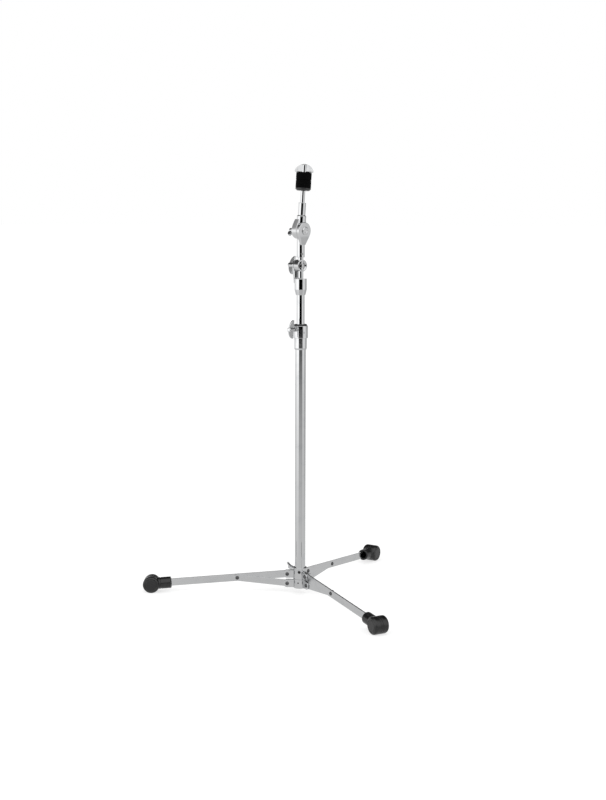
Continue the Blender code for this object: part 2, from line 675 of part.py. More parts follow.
def build_height_clamp():
    profile = [
        (CLAMP_COLLAR_R, CLAMP_TOP),
        (CLAMP_COLLAR_R, CLAMP_STEP_Z),
        (CLAMP_SLEEVE_R, CLAMP_STEP_Z),
        (CLAMP_SLEEVE_R, CLAMP_BOTTOM + CLAMP_TAPER),
        (CLAMP_NECK_R, CLAMP_BOTTOM),
        (HUB_BORE_R, CLAMP_BOTTOM),
        (HUB_BORE_R, CLAMP_TOP),
    ]
    clamp = turned("height_clamp", profile)
    screw_boss(clamp, CLAMP_BOSS_AZIMUTH, CLAMP_BOSS_Z, CLAMP_BOSS_R, CLAMP_BOSS_REACH)
    wall_hole(clamp, CLAMP_RIVET_AZIMUTH, CLAMP_RIVET_Z, SMALL_RIVET_R)
    place(clamp, "chrome", Matrix(), None)
    small_rivet("clamp_rivet", CLAMP_RIVET_AZIMUTH, CLAMP_RIVET_Z, CLAMP_COLLAR_R)
    wing_place = (CLAMP_WING_REACH, CLAMP_WING_FOOT, CLAMP_WING_TURN)
    clamp_screw("height", CLAMP_BOSS_AZIMUTH, CLAMP_BOSS_Z, MAST_R, *wing_place)

    rim_bottom = CLAMP_TOP + CLEAR
    skirt_r = TUBE_INNER_R - CLEAR
    profile = [
        (BUSH_TOP_R, rim_bottom + BUSH_RIM),
        (BUSH_RIM_R, rim_bottom + BUSH_EDGE),
        (BUSH_RIM_R, rim_bottom),
        (skirt_r, rim_bottom),
        (skirt_r, rim_bottom - BUSH_SKIRT),
        (MAST_R + CLEAR, rim_bottom - BUSH_SKIRT),
        (MAST_R + CLEAR, rim_bottom + BUSH_RIM),
    ]
    bush = turned("clamp_bush", profile)
    wall_hole(bush, CLAMP_BOSS_AZIMUTH, CLAMP_BOSS_Z, THREAD_R)
    place(bush, "nylon", Matrix(), None)


def build_mast():
    mast = ring("upper_tube", MAST_INNER_R, MAST_R, MAST_BOTTOM, MAST_TOP)
    place(mast, "chrome", Matrix(), None)
    low = MAST_BOTTOM + GLIDE_LIFT
    glide = ring("glide_bush", MAST_R + CLEAR, TUBE_INNER_R - CLEAR, low, low + GLIDE_LENGTH)
    place(glide, "nylon", Matrix(), None)


# Boom clamp and arm

def across_frame(azimuth, z):
    """Matrix with Z level along this azimuth, Y upright and its origin on the column axis."""
    out = direction(azimuth)
    return frame(Vector((0, 0, z)), Vector((0, 0, 1)).cross(out), out)


def build_boom_clamp():
    seat_r = MAST_R + CLEAR
    bore_r = ARM_R + CLEAR
    seat_top = MAST_TOP + CLEAR
    profile = [
        (BOOM_SLEEVE_R, BOOM_TOP),
        (BOOM_SLEEVE_R, BOOM_BOTTOM + BOOM_CONE),
        (BOOM_NECK_R, BOOM_BOTTOM),
        (seat_r, BOOM_BOTTOM),
        (seat_r, seat_top),
        (bore_r, seat_top),
        (bore_r, BOOM_TOP),
    ]
    base = turned("boom_clamp_base", profile)
    bolt_frame = across_frame(BOOM_AZIMUTH, BOOM_PIVOT_Z)
    foot = -BOOM_PIVOT_RISE - BOOM_CHEEK_FOOT_DROP
    half = BOOM_CHEEK_WIDTH / 2
    outline = arc(0, 0, BOOM_DISC_R, -30, 210, FINE_STEPS) + [(-half, foot), (half, foot)]
    cheek_low = BOOM_BLOCK_BACK + CLEAR
    thickness = BOOM_CHEEK_BACK - cheek_low
    loops = [outline, circle(0, 0, THREAD_HOLE_R)]
    cheek = plate("boom_clamp_cheek", loops, thickness)
    middle = (BOOM_CHEEK_BACK + cheek_low) / 2
    guide(cheek, bolt_frame @ Matrix.Translation((0, 0, middle)), None)
    slope_y = BOOM_CHEEK_SLOPE_RISE - BOOM_PIVOT_RISE
    slope_cut(cheek, bolt_frame, slope_y, BOOM_CHEEK_BACK, BOOM_CHEEK_SLOPE, BOOM_DISC_R)
    combine(base, cheek, "UNION")
    place(base, "chrome", Matrix(), None)

    block = rod("boom_clamp_block", BOOM_DISC_R, BOOM_BLOCK_FRONT, BOOM_BLOCK_BACK)
    slot = rod("boom_block_slot", BOOM_EYE_R + CLEAR, -BOOM_SLOT_HALF, BOOM_SLOT_HALF)
    groove = rod("boom_block_groove", bore_r, -BOOM_DISC_R * 2, BOOM_DISC_R * 2)
    drill = rod("boom_block_drill", THREAD_HOLE_R, 0, BOOM_BOLT_END, SMALL_STEPS)
    upright = Matrix.Translation((0, 0, BOOM_PIVOT_Z))
    guide(slot, upright, None)
    guide(groove, upright, None)
    guide(drill, bolt_frame, None)
    for tool in (slot, groove, drill):
        combine(block, tool, "DIFFERENCE")
    place(block, "chrome", bolt_frame, None)

    eye = ring("boom_eye_bolt", bore_r, BOOM_EYE_R, -BOOM_EYE_HEIGHT / 2, BOOM_EYE_HEIGHT / 2)
    shank = rod("boom_eye_shank", THREAD_R, (bore_r + BOOM_EYE_R) / 2, BOOM_BOLT_END, SMALL_STEPS)
    guide(shank, bolt_frame, None)
    combine(eye, shank, "UNION")
    place(eye, "steel", upright, None)

    washer_low = BOOM_CHEEK_BACK + CLEAR
    washer = ring("boom_washer", THREAD_HOLE_R, WASHER_R, washer_low, washer_low + WASHER_THICK)
    place(washer, "steel", bolt_frame, None)
    nut_low = washer_low + WASHER_THICK + CLEAR
    nut_place = Matrix.Translation((0, 0, nut_low + BOOM_WING_FOOT))
    upright_wing = Matrix.Rotation(math.radians(90 + BOOM_WING_TURN), 4, "Z")
    nut_bore = BOOM_BOLT_END - nut_low + CLEAR
    nut_frame = bolt_frame @ nut_place @ upright_wing
    wing_nut("boom_wing_nut", BOOM_WING_FOOT, nut_bore, nut_frame)

    arm = rod("boom_arm", ARM_R, ARM_BOTTOM, ARM_TOP)
    place(arm, "chrome", Matrix(), None)


# Cymbal tilter

def teardrop(radius, neck_half, neck_y):
    """Outline of a disc whose sides run straight to a neck below it, where they touch the disc."""
    distance = math.hypot(neck_half, neck_y)
    bearing = math.degrees(math.atan2(neck_y, neck_half))
    touch = bearing + math.degrees(math.acos(radius / distance))
    outline = arc(0, 0, radius, touch, 180 - touch, FINE_STEPS)
    return outline + [(-neck_half, neck_y), (neck_half, neck_y)]


def build_tilter():
    bolt_frame = across_frame(TILTER_AZIMUTH, TILTER_PIVOT_Z)
    socket_low = TILTER_SOCKET_BOTTOM
    bore_r = ARM_R + CLEAR
    profile = [
        (0, TILTER_SOCKET_TOP),
        (TILTER_SOCKET_R, TILTER_SOCKET_TOP),
        (TILTER_SOCKET_R, socket_low),
        (bore_r, socket_low),
        (bore_r, ARM_TOP + CLEAR),
        (0, ARM_TOP + CLEAR),
    ]
    lower = turned("tilter_lower", profile, closed=False)
    front_low = TILTER_SPLIT + CLEAR
    outline = teardrop(TILTER_DISC_R, TILTER_NECK_WIDTH / 2, -TILTER_NECK_DROP)
    loops = [outline, circle(0, 0, THREAD_HOLE_R)]
    face = plate("tilter_lower_face", loops, TILTER_FRONT - front_low)
    face_middle = (TILTER_FRONT + front_low) / 2
    guide(face, bolt_frame @ Matrix.Translation((0, 0, face_middle)), None)
    slope_cut(face, bolt_frame, -TILTER_SLOPE_DROP, TILTER_FRONT, TILTER_SLOPE, TILTER_DISC_R)
    combine(lower, face, "UNION")
    grub_frame = radial_frame(GRUB_AZIMUTH, 0, socket_low + GRUB_RISE)
    drill = rod("tilter_grub_hole", GRUB_R + CLEAR, 0, TILTER_SOCKET_R * 2, SMALL_STEPS)
    guide(drill, grub_frame, None)
    combine(lower, drill, "DIFFERENCE")
    place(lower, "chrome", Matrix(), None)
    grub = rod("arm_grub_screw", GRUB_R, bore_r, bore_r + GRUB_DEPTH, SMALL_STEPS)
    place(grub, "steel", grub_frame, None)

    lean = Matrix.Rotation(math.radians(-TILTER_LEAN), 4, direction(TILTER_AZIMUTH))
    head = empty("tilter_axis", Matrix.Translation((0, 0, TILTER_PIVOT_Z)) @ lean, COLUMN)
    build_tilter_head(head)

    shank_end = TILTER_BACK - 2 * CLEAR - WASHER_THICK - WING_FOOT - THREAD_SPARE
    head_low = TILTER_FRONT + CLEAR
    profile = [
        (0, head_low + BOLT_EDGE_RISE),
        (BOLT_DIMPLE_R, head_low + BOLT_EDGE_RISE),
        (BOLT_LIP_R, head_low + BOLT_HEAD_RISE),
        (BOLT_CROWN_R, head_low + BOLT_HEAD_RISE),
        (BOLT_HEAD_R, head_low + BOLT_EDGE_RISE),
        (BOLT_HEAD_R, head_low),
        (THREAD_R, head_low),
        (THREAD_R, shank_end),
        (0, shank_end),
    ]
    place(turned("tilter_bolt", profile, FINE_STEPS, closed=False), "steel", bolt_frame, None)
    washer_high = TILTER_BACK - CLEAR
    washer_low = washer_high - WASHER_THICK
    washer = ring("tilter_washer", THREAD_HOLE_R, WASHER_R, washer_low, washer_high)
    place(washer, "steel", bolt_frame, None)
    nut_high = washer_low - CLEAR
    backward = Matrix.Rotation(math.radians(180), 4, "Y")
    turn = Matrix.Rotation(math.radians(90 - TILTER_WING_TURN), 4, "Z")
    nut_place = Matrix.Translation((0, 0, nut_high - WING_FOOT)) @ backward @ turn
    nut_bore = nut_high - shank_end + CLEAR
    wing_nut("tilter_wing_nut", WING_FOOT, nut_bore, bolt_frame @ nut_place)


def build_tilter_head(head):
    """Upper half of the tilter with the post and cymbal seat, leaning about the tilter's bolt."""
    out = direction(TILTER_AZIMUTH)
    bolt_frame = frame(Vector((0, 0, 0)), Vector((0, 0, 1)).cross(out), out)
    from_back = bolt_frame @ Matrix.Rotation(math.radians(180), 4, "X")
    outline = teardrop(TILTER_DISC_R, TILTER_STEM_BASE_R, -TILTER_FLARE_TOP)
    barrel = plate("tilter_barrel", [outline], TILTER_SPLIT - TILTER_BACK)
    middle = -(TILTER_SPLIT + TILTER_BACK) / 2
    guide(barrel, from_back @ Matrix.Translation((0, 0, middle)), head)
    slope = (-TILTER_BACK_SLOPE_RISE, -TILTER_BACK, TILTER_BACK_SLOPE, TILTER_DISC_R)
    slope_cut(barrel, from_back, *slope, head)
    drill = rod("tilter_upper_drill", THREAD_HOLE_R, TILTER_BACK * 2, TILTER_SPLIT * 4, SMALL_STEPS)
    guide(drill, bolt_frame, head)
    round_r = TILTER_DISC_R + TILTER_ROUND_GAP
    keep_out = rod("tilter_round_cut", round_r, TILTER_SPLIT, TILTER_FRONT * 2)
    guide(keep_out, bolt_frame, head)
    bore_r = POST_R + CLEAR
    bore_low = TILTER_STEM_TOP - POST_IN_STEM - CLEAR
    profile = [
        (TILTER_STEM_R, TILTER_STEM_TOP),
        (TILTER_STEM_R, TILTER_SHOULDER),
        (TILTER_STEM_BASE_R, TILTER_SHOULDER),
        (TILTER_STEM_BASE_R, TILTER_STEM_LOW),
        (0, TILTER_STEM_LOW),
        (0, bore_low),
        (bore_r, bore_low),
        (bore_r, TILTER_STEM_TOP),
    ]
    stem = turned("tilter_upper", profile)
    combine(stem, keep_out, "DIFFERENCE")
    combine(stem, barrel, "UNION")
    combine(stem, drill, "DIFFERENCE")
    place(stem, "chrome", Matrix(), head)

    post_low = bore_low + CLEAR
    felt_low = SEAT_Z + SEAT_RISE + CLEAR
    felt_gap_top = felt_low + 2 * FELT_RISE + CLEAR
    nut_low = felt_gap_top + CLEAR
    profile = [
        (0, nut_low + POST_IN_NUT),
        (THREAD_R, nut_low + POST_IN_NUT),
        (THREAD_R, SEAT_Z - CLEAR),
        (POST_R, SEAT_Z - CLEAR),
        (POST_R, post_low),
        (0, post_low),
    ]
    place(turned("cymbal_post", profile, SMALL_STEPS, closed=False), "chrome", Matrix(), head)

    cup_top = SEAT_Z + SEAT_RISE
    corner = arc(SEAT_R - SEAT_EDGE, SEAT_Z + SEAT_EDGE, SEAT_EDGE, 0, -90, CORNER_STEPS)
    profile = [(SEAT_R, cup_top), *corner, (THREAD_HOLE_R, SEAT_Z), (THREAD_HOLE_R, cup_top)]
    place(turned("seat_cup", profile), "nylon", Matrix(), head)

    sleeve_r = THREAD_HOLE_R + SLEEVE_WALL
    sleeve = ring("cymbal_sleeve", THREAD_HOLE_R, sleeve_r, felt_low, felt_gap_top, SMALL_STEPS)
    place(sleeve, "nylon", Matrix(), head)
    felt(head, "lower_felt", felt_low, sleeve_r + CLEAR)
    felt(head, "upper_felt", felt_low + FELT_RISE + CLEAR, sleeve_r + CLEAR)
    wing_turn = Matrix.Rotation(math.radians(TOP_WING_TURN), 4, "Z")
    nut_place = Matrix.Translation((0, 0, nut_low + TOP_WING_FOOT)) @ wing_turn
    wing_nut("top_wing_nut", TOP_WING_FOOT, NUT_BORE_DEPTH, nut_place, head)


def felt(head, name, low, bore_r):
    """A thick felt washer with softly rounded edges."""
    high = low + FELT_RISE
    profile = arc(FELT_R - FELT_EDGE, high - FELT_EDGE, FELT_EDGE, 90, 0, CORNER_STEPS)
    profile += arc(FELT_R - FELT_EDGE, low + FELT_EDGE, FELT_EDGE, 0, -90, CORNER_STEPS)
    profile += [(bore_r, low), (bore_r, high)]
    place(turned(name, profile), "felt", Matrix(), head)


build_lower_tube()
build_lower_hub()
build_upper_hub()
for leg_name, leg_azimuth in LEG_AZIMUTHS.items():
    build_leg(leg_name, leg_azimuth)
build_height_clamp()
build_mast()
build_boom_clamp()
build_tilter()
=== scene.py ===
"""Fine surfaces, finishes, floor, light and camera for the mini boom cymbal stand.

Pieces are modelled in millimetres and put in the stand's frame, in metres, when they are done.
"""

import math

import bpy
from mathutils import Matrix, Vector


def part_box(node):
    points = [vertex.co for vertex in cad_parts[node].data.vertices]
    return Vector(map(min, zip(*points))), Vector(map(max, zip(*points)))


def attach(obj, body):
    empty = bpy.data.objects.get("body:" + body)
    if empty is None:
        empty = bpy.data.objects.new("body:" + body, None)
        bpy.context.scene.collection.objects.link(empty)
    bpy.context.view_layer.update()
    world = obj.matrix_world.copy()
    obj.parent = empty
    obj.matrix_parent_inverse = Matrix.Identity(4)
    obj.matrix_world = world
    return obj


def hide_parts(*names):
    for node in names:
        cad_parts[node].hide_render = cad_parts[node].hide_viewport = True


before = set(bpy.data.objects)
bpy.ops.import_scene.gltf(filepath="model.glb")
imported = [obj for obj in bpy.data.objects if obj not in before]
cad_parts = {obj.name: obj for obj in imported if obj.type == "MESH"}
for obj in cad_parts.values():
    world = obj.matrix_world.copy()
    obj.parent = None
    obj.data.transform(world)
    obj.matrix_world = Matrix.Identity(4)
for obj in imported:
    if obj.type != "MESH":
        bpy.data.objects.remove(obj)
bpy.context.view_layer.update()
bpy.ops.object.select_all(action="DESELECT")

# Sizes in millimetres

CLEAR = 0.3
tube_low, tube_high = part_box("upper_tube")
COLUMN_X = (tube_low.x + tube_high.x) * 500
COLUMN = Matrix.Translation((COLUMN_X, 0, 0))
TO_METRES = Matrix.Scale(0.001, 4)

# Tubes
TUBE_R = 12.7
TUBE_INNER_R = 11.5
TUBE_BOTTOM = 18.0
TUBE_TOP = 650.5
MAST_R = 9.525
MAST_INNER_R = 8.325
MAST_BOTTOM = 350.5
MAST_TOP = 748.5
ARM_R = 6.35
ARM_BOTTOM = 762.0
ARM_TOP = 838.5
CAP_PLUG = 14.0
CAP_RIM = 2.5
CAP_DISH_R = 6.0
CAP_DISH = 1.1

# Hubs
HUB_BORE_R = 13.0
HUB_R = 16.7
HUB_BOTTOM = 14.0
HUB_SPLIT = 36.3
HUB_TOP = 64.0
PIN_REACH = 31.0
LEG_PIN_Z = 47.5
STRUT_PIN_Z = 25.0
EAR_THICK = 2.5
EAR_R = 9.5
EAR_EASE = 0.5
HUB_EASE = 0.9
BOSS_EASE = 0.7
BOSS_SINK_R = 4.4
BASE_SCREW = (120.0, 52.5)  # azimuth and height, as for the plug and rivets
BASE_BOSS_R = 6.5
BASE_BOSS_REACH = 31.0
BASE_WING_FOOT = 3.0
BASE_WING_REACH = 36.0
BASE_WING_TURN = -41.0
HUB_PLUG = (-96.0, 55.0)
HUB_PLUG_R = 3.3
HUB_PLUG_SINK = 0.8
HUB_PLUG_DIMPLE_R = 1.6
HUB_RIVET = (-105.0, 28.0)

# Legs and feet
LEG_AZIMUTHS = {"left": 180.0, "front": -60.0, "rear": 60.0}
FOOT_REACH = 360.5
FOOT_CENTRE_Z = 19.5
RIVET_REACH = 152.0
LEG_WIDTH = 17.6
LEG_THICK = 3.5
LEG_EASE = 0.45
STRUT_WIDTH = 15.4
STRUT_THICK = 3.0
STRUT_EASE = 0.4
STRUT_OFFSET = (LEG_THICK + STRUT_THICK) / 2 + CLEAR
DRUM_R = 20.25
DRUM_HALF = 18.5
DRUM_EDGE = 6.0
DRUM_DISC_R = 12.9
DRUM_RIM_R = 14.6
DRUM_GROOVE = 1.1
TREAD_GROOVE = 2.4
TREAD_DEPTH = 0.8
NECK_R = 14.0
NECK_MOUTH = 47.5
NECK_GROOVE = 22.6
NECK_GROOVE_DEPTH = 0.9
SOCKET_DEPTH = 31.0
SOCKET_R = 9.3
SOCKET_FLARE = 1.5
RUBBER_VOXEL = 0.5
GROUND = 80.0

# Rivets, screws and wings
PIN_R = 3.0
PIN_HEAD_R = 4.6
PIN_HEAD_RISE = 1.8
PIN_HEAD_RIM = 0.6
DIMPLE_R = 1.9
DIMPLE_FLOOR = 0.2
SMALL_RIVET_R = 1.6
SMALL_RIVET_RISE = 0.8
PAD_THICK = 2.0
THREAD_R = 3.0
THREAD_HOLE_R = 3.3
WING_SPAN = 44.8
WING_RISE = 18.5
WING_THICK = 4.6
WING_EASE = 0.9
WING_TIP_EASE = 3.2
WING_TIP_ANGLE = 12.0
WING_TAPER = -0.5
WING_HOLE_REACH = 14.6
WING_HOLE_Z = 3.4
WING_HOLE_R = 1.3
WING_SINK_R = 2.3
WING_SINK_FLOOR = 1.7
WING_HUB_R = 5.4
WING_HUB_DOME = 1.6
WING_HUB_DROP = 0.15
WASHER_R = 8.5
WASHER_THICK = 1.5

# Height clamp
CLAMP_BOTTOM = 593.5
CLAMP_CONE = 4.0
CLAMP_STEP = 621.2
CLAMP_COLLAR_R = 17.7
CLAMP_SLEEVE_R = 15.0
CLAMP_NECK_R = 13.9
CLAMP_SCREW = (-122.0, 643.8)  # azimuth and height
CLAMP_BOSS_R = 6.2
CLAMP_BOSS_REACH = 28.0
CLAMP_WING_FOOT = 2.0
CLAMP_WING_REACH = 32.0
CLAMP_WING_TURN = -5.0
CLAMP_RIVET = (-59.0, 634.8)
BUSH_R = 15.3
BUSH_RIM = 2.8
BUSH_LENGTH = 50.0

# Boom clamp
BOOM_BOTTOM = 722.5
BOOM_TOP = 760.8
BOOM_CONE = 13.0
BOOM_SLEEVE_R = 14.5
BOOM_NECK_R = 11.4
BOOM_PIVOT = 791.0
BOOM_AZIMUTH = 130.0
BOOM_DISC_R = 14.0
BOOM_FRONT = -7.0
BOOM_BACK = 9.8
BOOM_DISH_R = 5.5
BOOM_DISH_FLOOR = -1.5
CHEEK_BACK = 14.5
CHEEK_HALF = 11.0
CHEEK_LOW = -41.0
CHEEK_SLOPE = (-24.0, 8.0)  # where it starts, and its angle
BOOM_EYE_R = 9.2
BOOM_EYE_HALF = 4.5
BOOM_BOLT_END = 31.0
BOOM_WING_FOOT = 9.0
BOOM_WING_TURN = 14.0

# Tilter and cymbal seat
TILTER_PIVOT = 872.5
TILTER_AZIMUTH = -44.0
TILTER_LEAN = 4.5
TILTER_DISC_R = 19.2
TILTER_FRONT = 14.5
TILTER_SPLIT = 4.0
TILTER_BACK = -12.3
FACE_NECK = (6.5, -33.5)  # half width and height
# Where each slope starts, and its angle
FACE_SLOPES = ((-9.5, 7.5), (-13.5, 15.0))
BARREL_NECK_Y = -26.0
BARREL_SLOPES = ((-13.0, 6.0), (-17.0, 12.0))
TILTER_EASE = 1.1
SOCKET_BOTTOM = 810.5
SOCKET_OUTER_R = 9.4
GRUB = (-70.0, SOCKET_BOTTOM + 8.0)
GRUB_R = 2.4
GRUB_LENGTH = 2.4
GRUB_KEY_R = 1.4
BOLT_HEAD_R = 9.3
BOLT_HEAD_RISE = 2.2
BOLT_DISH_R = 4.2
BOLT_DISH_FLOOR = 1.2
BOLT_SPARE = 9.0
TILTER_WING_FOOT = 3.0
TILTER_WING_TURN = 150.0
STEM_R = 8.8
STEM_BASE_R = 11.0
STEM_LOW = 9.6
STEM_STEP = 33.5
STEM_TOP = 64.5
POST_R = 5.3
POST_DEPTH = 14.0
POST_SPARE = 13.0
SEAT_Z = 92.3
SEAT_R = 18.4
SEAT_RISE = 6.2
FELT_R = 18.1
FELT_BORE_R = THREAD_HOLE_R + 1.8
FELT_RISE = 17.8
FELT_EDGE = 1.3
FELT_RELIEF = 0.4
FELT_CLUMP = 3.0
TOP_WING_FOOT = 0.4
TOP_WING_BORE = 15.0

# Facets and rounded corners
ROUND = 96
BOSS_ROUND = 64
SMALL_ROUND = 48
TINY_ROUND = 32
EASE_STEPS = 4
EASE_SHARE = 0.48  # the most of a side that a rounded corner takes
LEAST_BEND = 0.2  # radians
LEAST_EASE = 0.02
WELD = 0.002


# Places on the stand

def direction(azimuth):
    """Level unit vector at this azimuth."""
    angle = math.radians(azimuth)
    return Vector((math.cos(angle), math.sin(angle), 0))


def axes(origin, x_axis, z_axis):
    """Matrix whose X and Z point along these directions."""
    z_axis = z_axis.normalized()
    x_axis = (x_axis - z_axis * x_axis.dot(z_axis)).normalized()
    turn = Matrix((x_axis, z_axis.cross(x_axis), z_axis)).transposed()
    return Matrix.Translation(origin) @ turn.to_4x4()


def radial(azimuth, reach, z, turn=0.0):
    """Z points away from the column and X upright, turned about Z by turn degrees."""
    out = direction(azimuth)
    upright = axes(out * reach + Vector((0, 0, z)), Vector((0, 0, 1)), out)
    return COLUMN @ upright @ Matrix.Rotation(math.radians(turn), 4, "Z")


def leg_plane(azimuth, reach, z, angle, offset=0.0):
    """X points outward along a strip at this slope, Y downward and Z along the pins."""
    out = direction(azimuth)
    side = Vector((0, 0, 1)).cross(out)
    slope = math.radians(angle)
    along = out * math.cos(slope) + Vector((0, 0, 1)) * math.sin(slope)
    return COLUMN @ axes(out * reach + side * offset + Vector((0, 0, z)), along, side)


def across(azimuth, z):
    """Z lies level along this azimuth, and Y is upright."""
    out = direction(azimuth)
    return COLUMN @ axes(Vector((0, 0, z)), Vector((0, 0, 1)).cross(out), out)


def shifted(z):
    """A move along Z."""
    return Matrix.Translation((0, 0, z))


# Modelling by hand

def only(piece):
    """Selects this piece and nothing else."""
    bpy.ops.object.select_all(action="DESELECT")
    piece.select_set(True)
    bpy.context.view_layer.objects.active = piece


def draw(name, points):
    """Starts a piece, left in edit mode, with a line through these points."""
    bpy.ops.object.select_all(action="DESELECT")
    bpy.ops.mesh.primitive_plane_add(size=0.1)
    piece = bpy.context.object
    piece.name = name
    piece.data.name = name
    bpy.ops.object.mode_set(mode="EDIT")
    bpy.ops.mesh.select_all(action="SELECT")
    bpy.ops.mesh.merge(type="CENTER")
    last = Vector(points[0])
    bpy.ops.transform.translate(value=last)
    for point in points[1:]:
        step = Vector(point) - last
        bpy.ops.mesh.extrude_vertices_move(TRANSFORM_OT_translate={"value": step})
        last = Vector(point)
    bpy.ops.mesh.select_all(action="SELECT")
    return piece


def eased(points, radius, closed=False):
    """Rounds the corners of a line. A point may give its own rounding as a third number."""
    corners = [Vector(point[:2]) for point in points]
    roundings = [point[2] if len(point) > 2 else radius for point in points]
    line = []
    for n, corner in enumerate(corners):
        back = corners[n - 1] - corner
        ahead = corners[(n + 1) % len(corners)] - corner
        bend = math.pi - back.angle(ahead)
        most = EASE_SHARE * min(back.length, ahead.length)
        reach = min(roundings[n] * math.tan(bend / 2), most)
        at_end = not closed and n in (0, len(corners) - 1)
        if at_end or bend < LEAST_BEND or reach < LEAST_EASE:
            line.append(corner)
            continue
        start = corner + back.normalized() * reach
        end = corner + ahead.normalized() * reach
        for step in range(EASE_STEPS + 1):
            share = step / EASE_STEPS
            line.append(start.lerp(corner, share).lerp(corner.lerp(end, share), share))
    return line


def turned(name, profile, ease=0.3, closed=False, steps=ROUND):
    """Turns a profile of radius and height about Z. A solid's profile starts and ends on the axis."""
    line = eased(profile, ease, closed)
    if closed:
        line.append(line[0])
    piece = draw(name, [(point.x, 0, point.y) for point in line])
    bpy.ops.mesh.spin(steps=steps, angle=math.tau, center=(0, 0, 0), axis=(0, 0, 1))
    bpy.ops.mesh.select_all(action="SELECT")
    bpy.ops.mesh.remove_doubles(threshold=WELD)
    bpy.ops.mesh.normals_make_consistent(inside=False)
    bpy.ops.object.mode_set(mode="OBJECT")
    return piece


def rod(name, radius, low, high, ease=0.3, steps=ROUND):
    """A solid round bar along Z."""
    return turned(name, [(0, low), (radius, low), (radius, high), (0, high)], ease, steps=steps)


def ring(name, inner, outer, low, high, ease=0.3):
    """A plain tube along Z."""
    profile = [(inner, low), (outer, low), (outer, high), (inner, high)]
    return turned(name, profile, ease, closed=True)


def arc(x, y, radius, start, end, count=24):
    """Points along an arc, angles in degrees."""
    points = []
    for n in range(count + 1):
        angle = math.radians(start + (end - start) * n / count)
        points.append((x + radius * math.cos(angle), y + radius * math.sin(angle)))
    return points


def slab(name, outline, low, high):
    """A plate with square edges, from its outline in XY."""
    piece = draw(name, [(x, y, low) for x, y in [*outline, outline[0]]])
    bpy.ops.mesh.remove_doubles(threshold=WELD)
    bpy.ops.mesh.edge_face_add()
    bpy.ops.mesh.extrude_region_move(TRANSFORM_OT_translate={"value": (0, 0, high - low)})
    bpy.ops.mesh.select_all(action="SELECT")
    bpy.ops.mesh.normals_make_consistent(inside=False)
    bpy.ops.object.mode_set(mode="OBJECT")
    return piece


def use(piece, kind, **settings):
    """Adds a modifier with these settings and applies it."""
    step = piece.modifiers.new(kind.lower(), kind)
    for name, value in settings.items():
        setattr(step, name, value)
    only(piece)
    bpy.ops.object.modifier_apply(modifier=step.name)


def ease_edges(piece, width, angle=40):
    """Rounds the sharp edges of a plate."""
    limit = math.radians(angle)
    use(piece, "BEVEL", width=width, segments=3, limit_method="ANGLE", angle_limit=limit)


def plate(name, outline, low, high, ease):
    """A plate with rounded edges, from its outline in XY."""
    piece = slab(name, outline, low, high)
    ease_edges(piece, ease)
    return piece


def put(piece, matrix):
    """Moves a piece or a tool to its place."""
    piece.matrix_world = matrix
    bpy.context.view_layer.update()
    return piece


def combine(piece, tool, operation):
    """Joins a shape to a piece or cuts it out, and takes the shape away."""
    use(piece, "BOOLEAN", operation=operation, solver="MANIFOLD", object=tool)
    bpy.data.objects.remove(tool)


def drill(piece, radius, low, high, matrix, steps=SMALL_ROUND):
    """Cuts a round hole along Z at this place."""
    combine(piece, put(rod("drill", radius, low, high, 0.0, steps), matrix), "DIFFERENCE")


def again(piece, name):
    """A copy of a piece, with a mesh of its own."""
    only(piece)
    bpy.ops.object.duplicate(linked=False)
    copy = bpy.context.object
    copy.name = name
    copy.data.name = name
    return copy


def cut_slope(piece, matrix, face, size, y, angle):
    """Slopes a plate's outer face, which lies at this height along Z, inward from y down."""
    bpy.ops.object.select_all(action="DESELECT")
    bpy.ops.mesh.primitive_cube_add(size=1)
    wedge = bpy.context.object
    slope = Matrix.Rotation(math.radians(angle), 4, "X")
    below = Matrix.Translation((0, -size, size)) @ Matrix.Diagonal((size * 3, size * 2, size * 2, 1))
    put(wedge, matrix @ Matrix.Translation((0, y, face)) @ slope @ below)
    combine(piece, wedge, "DIFFERENCE")


def done(piece, body, finish, shade=32):
    """Shades a finished piece, brings it to metres, gives it its finish and body, and hides the frame's
    part that it stands in for.
    """
    only(piece)
    bpy.ops.object.shade_smooth_by_angle(angle=math.radians(shade))
    use(piece, "WEIGHTED_NORMAL", keep_sharp=True)
    piece.matrix_world = TO_METRES @ piece.matrix_world
    only(piece)
    bpy.ops.object.transform_apply(location=True, rotation=True, scale=True)
    material, slot = FINISHES[finish]
    piece.data.materials.clear()
    piece.data.materials.append(material)
    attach(piece, body)
    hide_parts(piece.name.removeprefix("fine_"))


def copied(piece, node, matrix, body, finish, shade=32):
    """A finished copy of a piece, at its place and named after its node."""
    done(put(again(piece, f"fine_{node}"), matrix), body, finish, shade)


# Finishes

class Value:
    """A number that varies over a surface. Sums on it add Math nodes."""

    def __init__(self, surface, socket):
        self.surface = surface
        self.socket = socket

    def __add__(self, other):
        return self.surface.sum("ADD", self, other)

    __radd__ = __add__

    def __sub__(self, other):
        return self.surface.sum("SUBTRACT", self, other)

    def __rsub__(self, other):
        return self.surface.sum("SUBTRACT", other, self)

    def __mul__(self, other):
        return self.surface.sum("MULTIPLY", self, other)

    __rmul__ = __mul__

    def __truediv__(self, other):
        return self.surface.sum("DIVIDE", self, other)


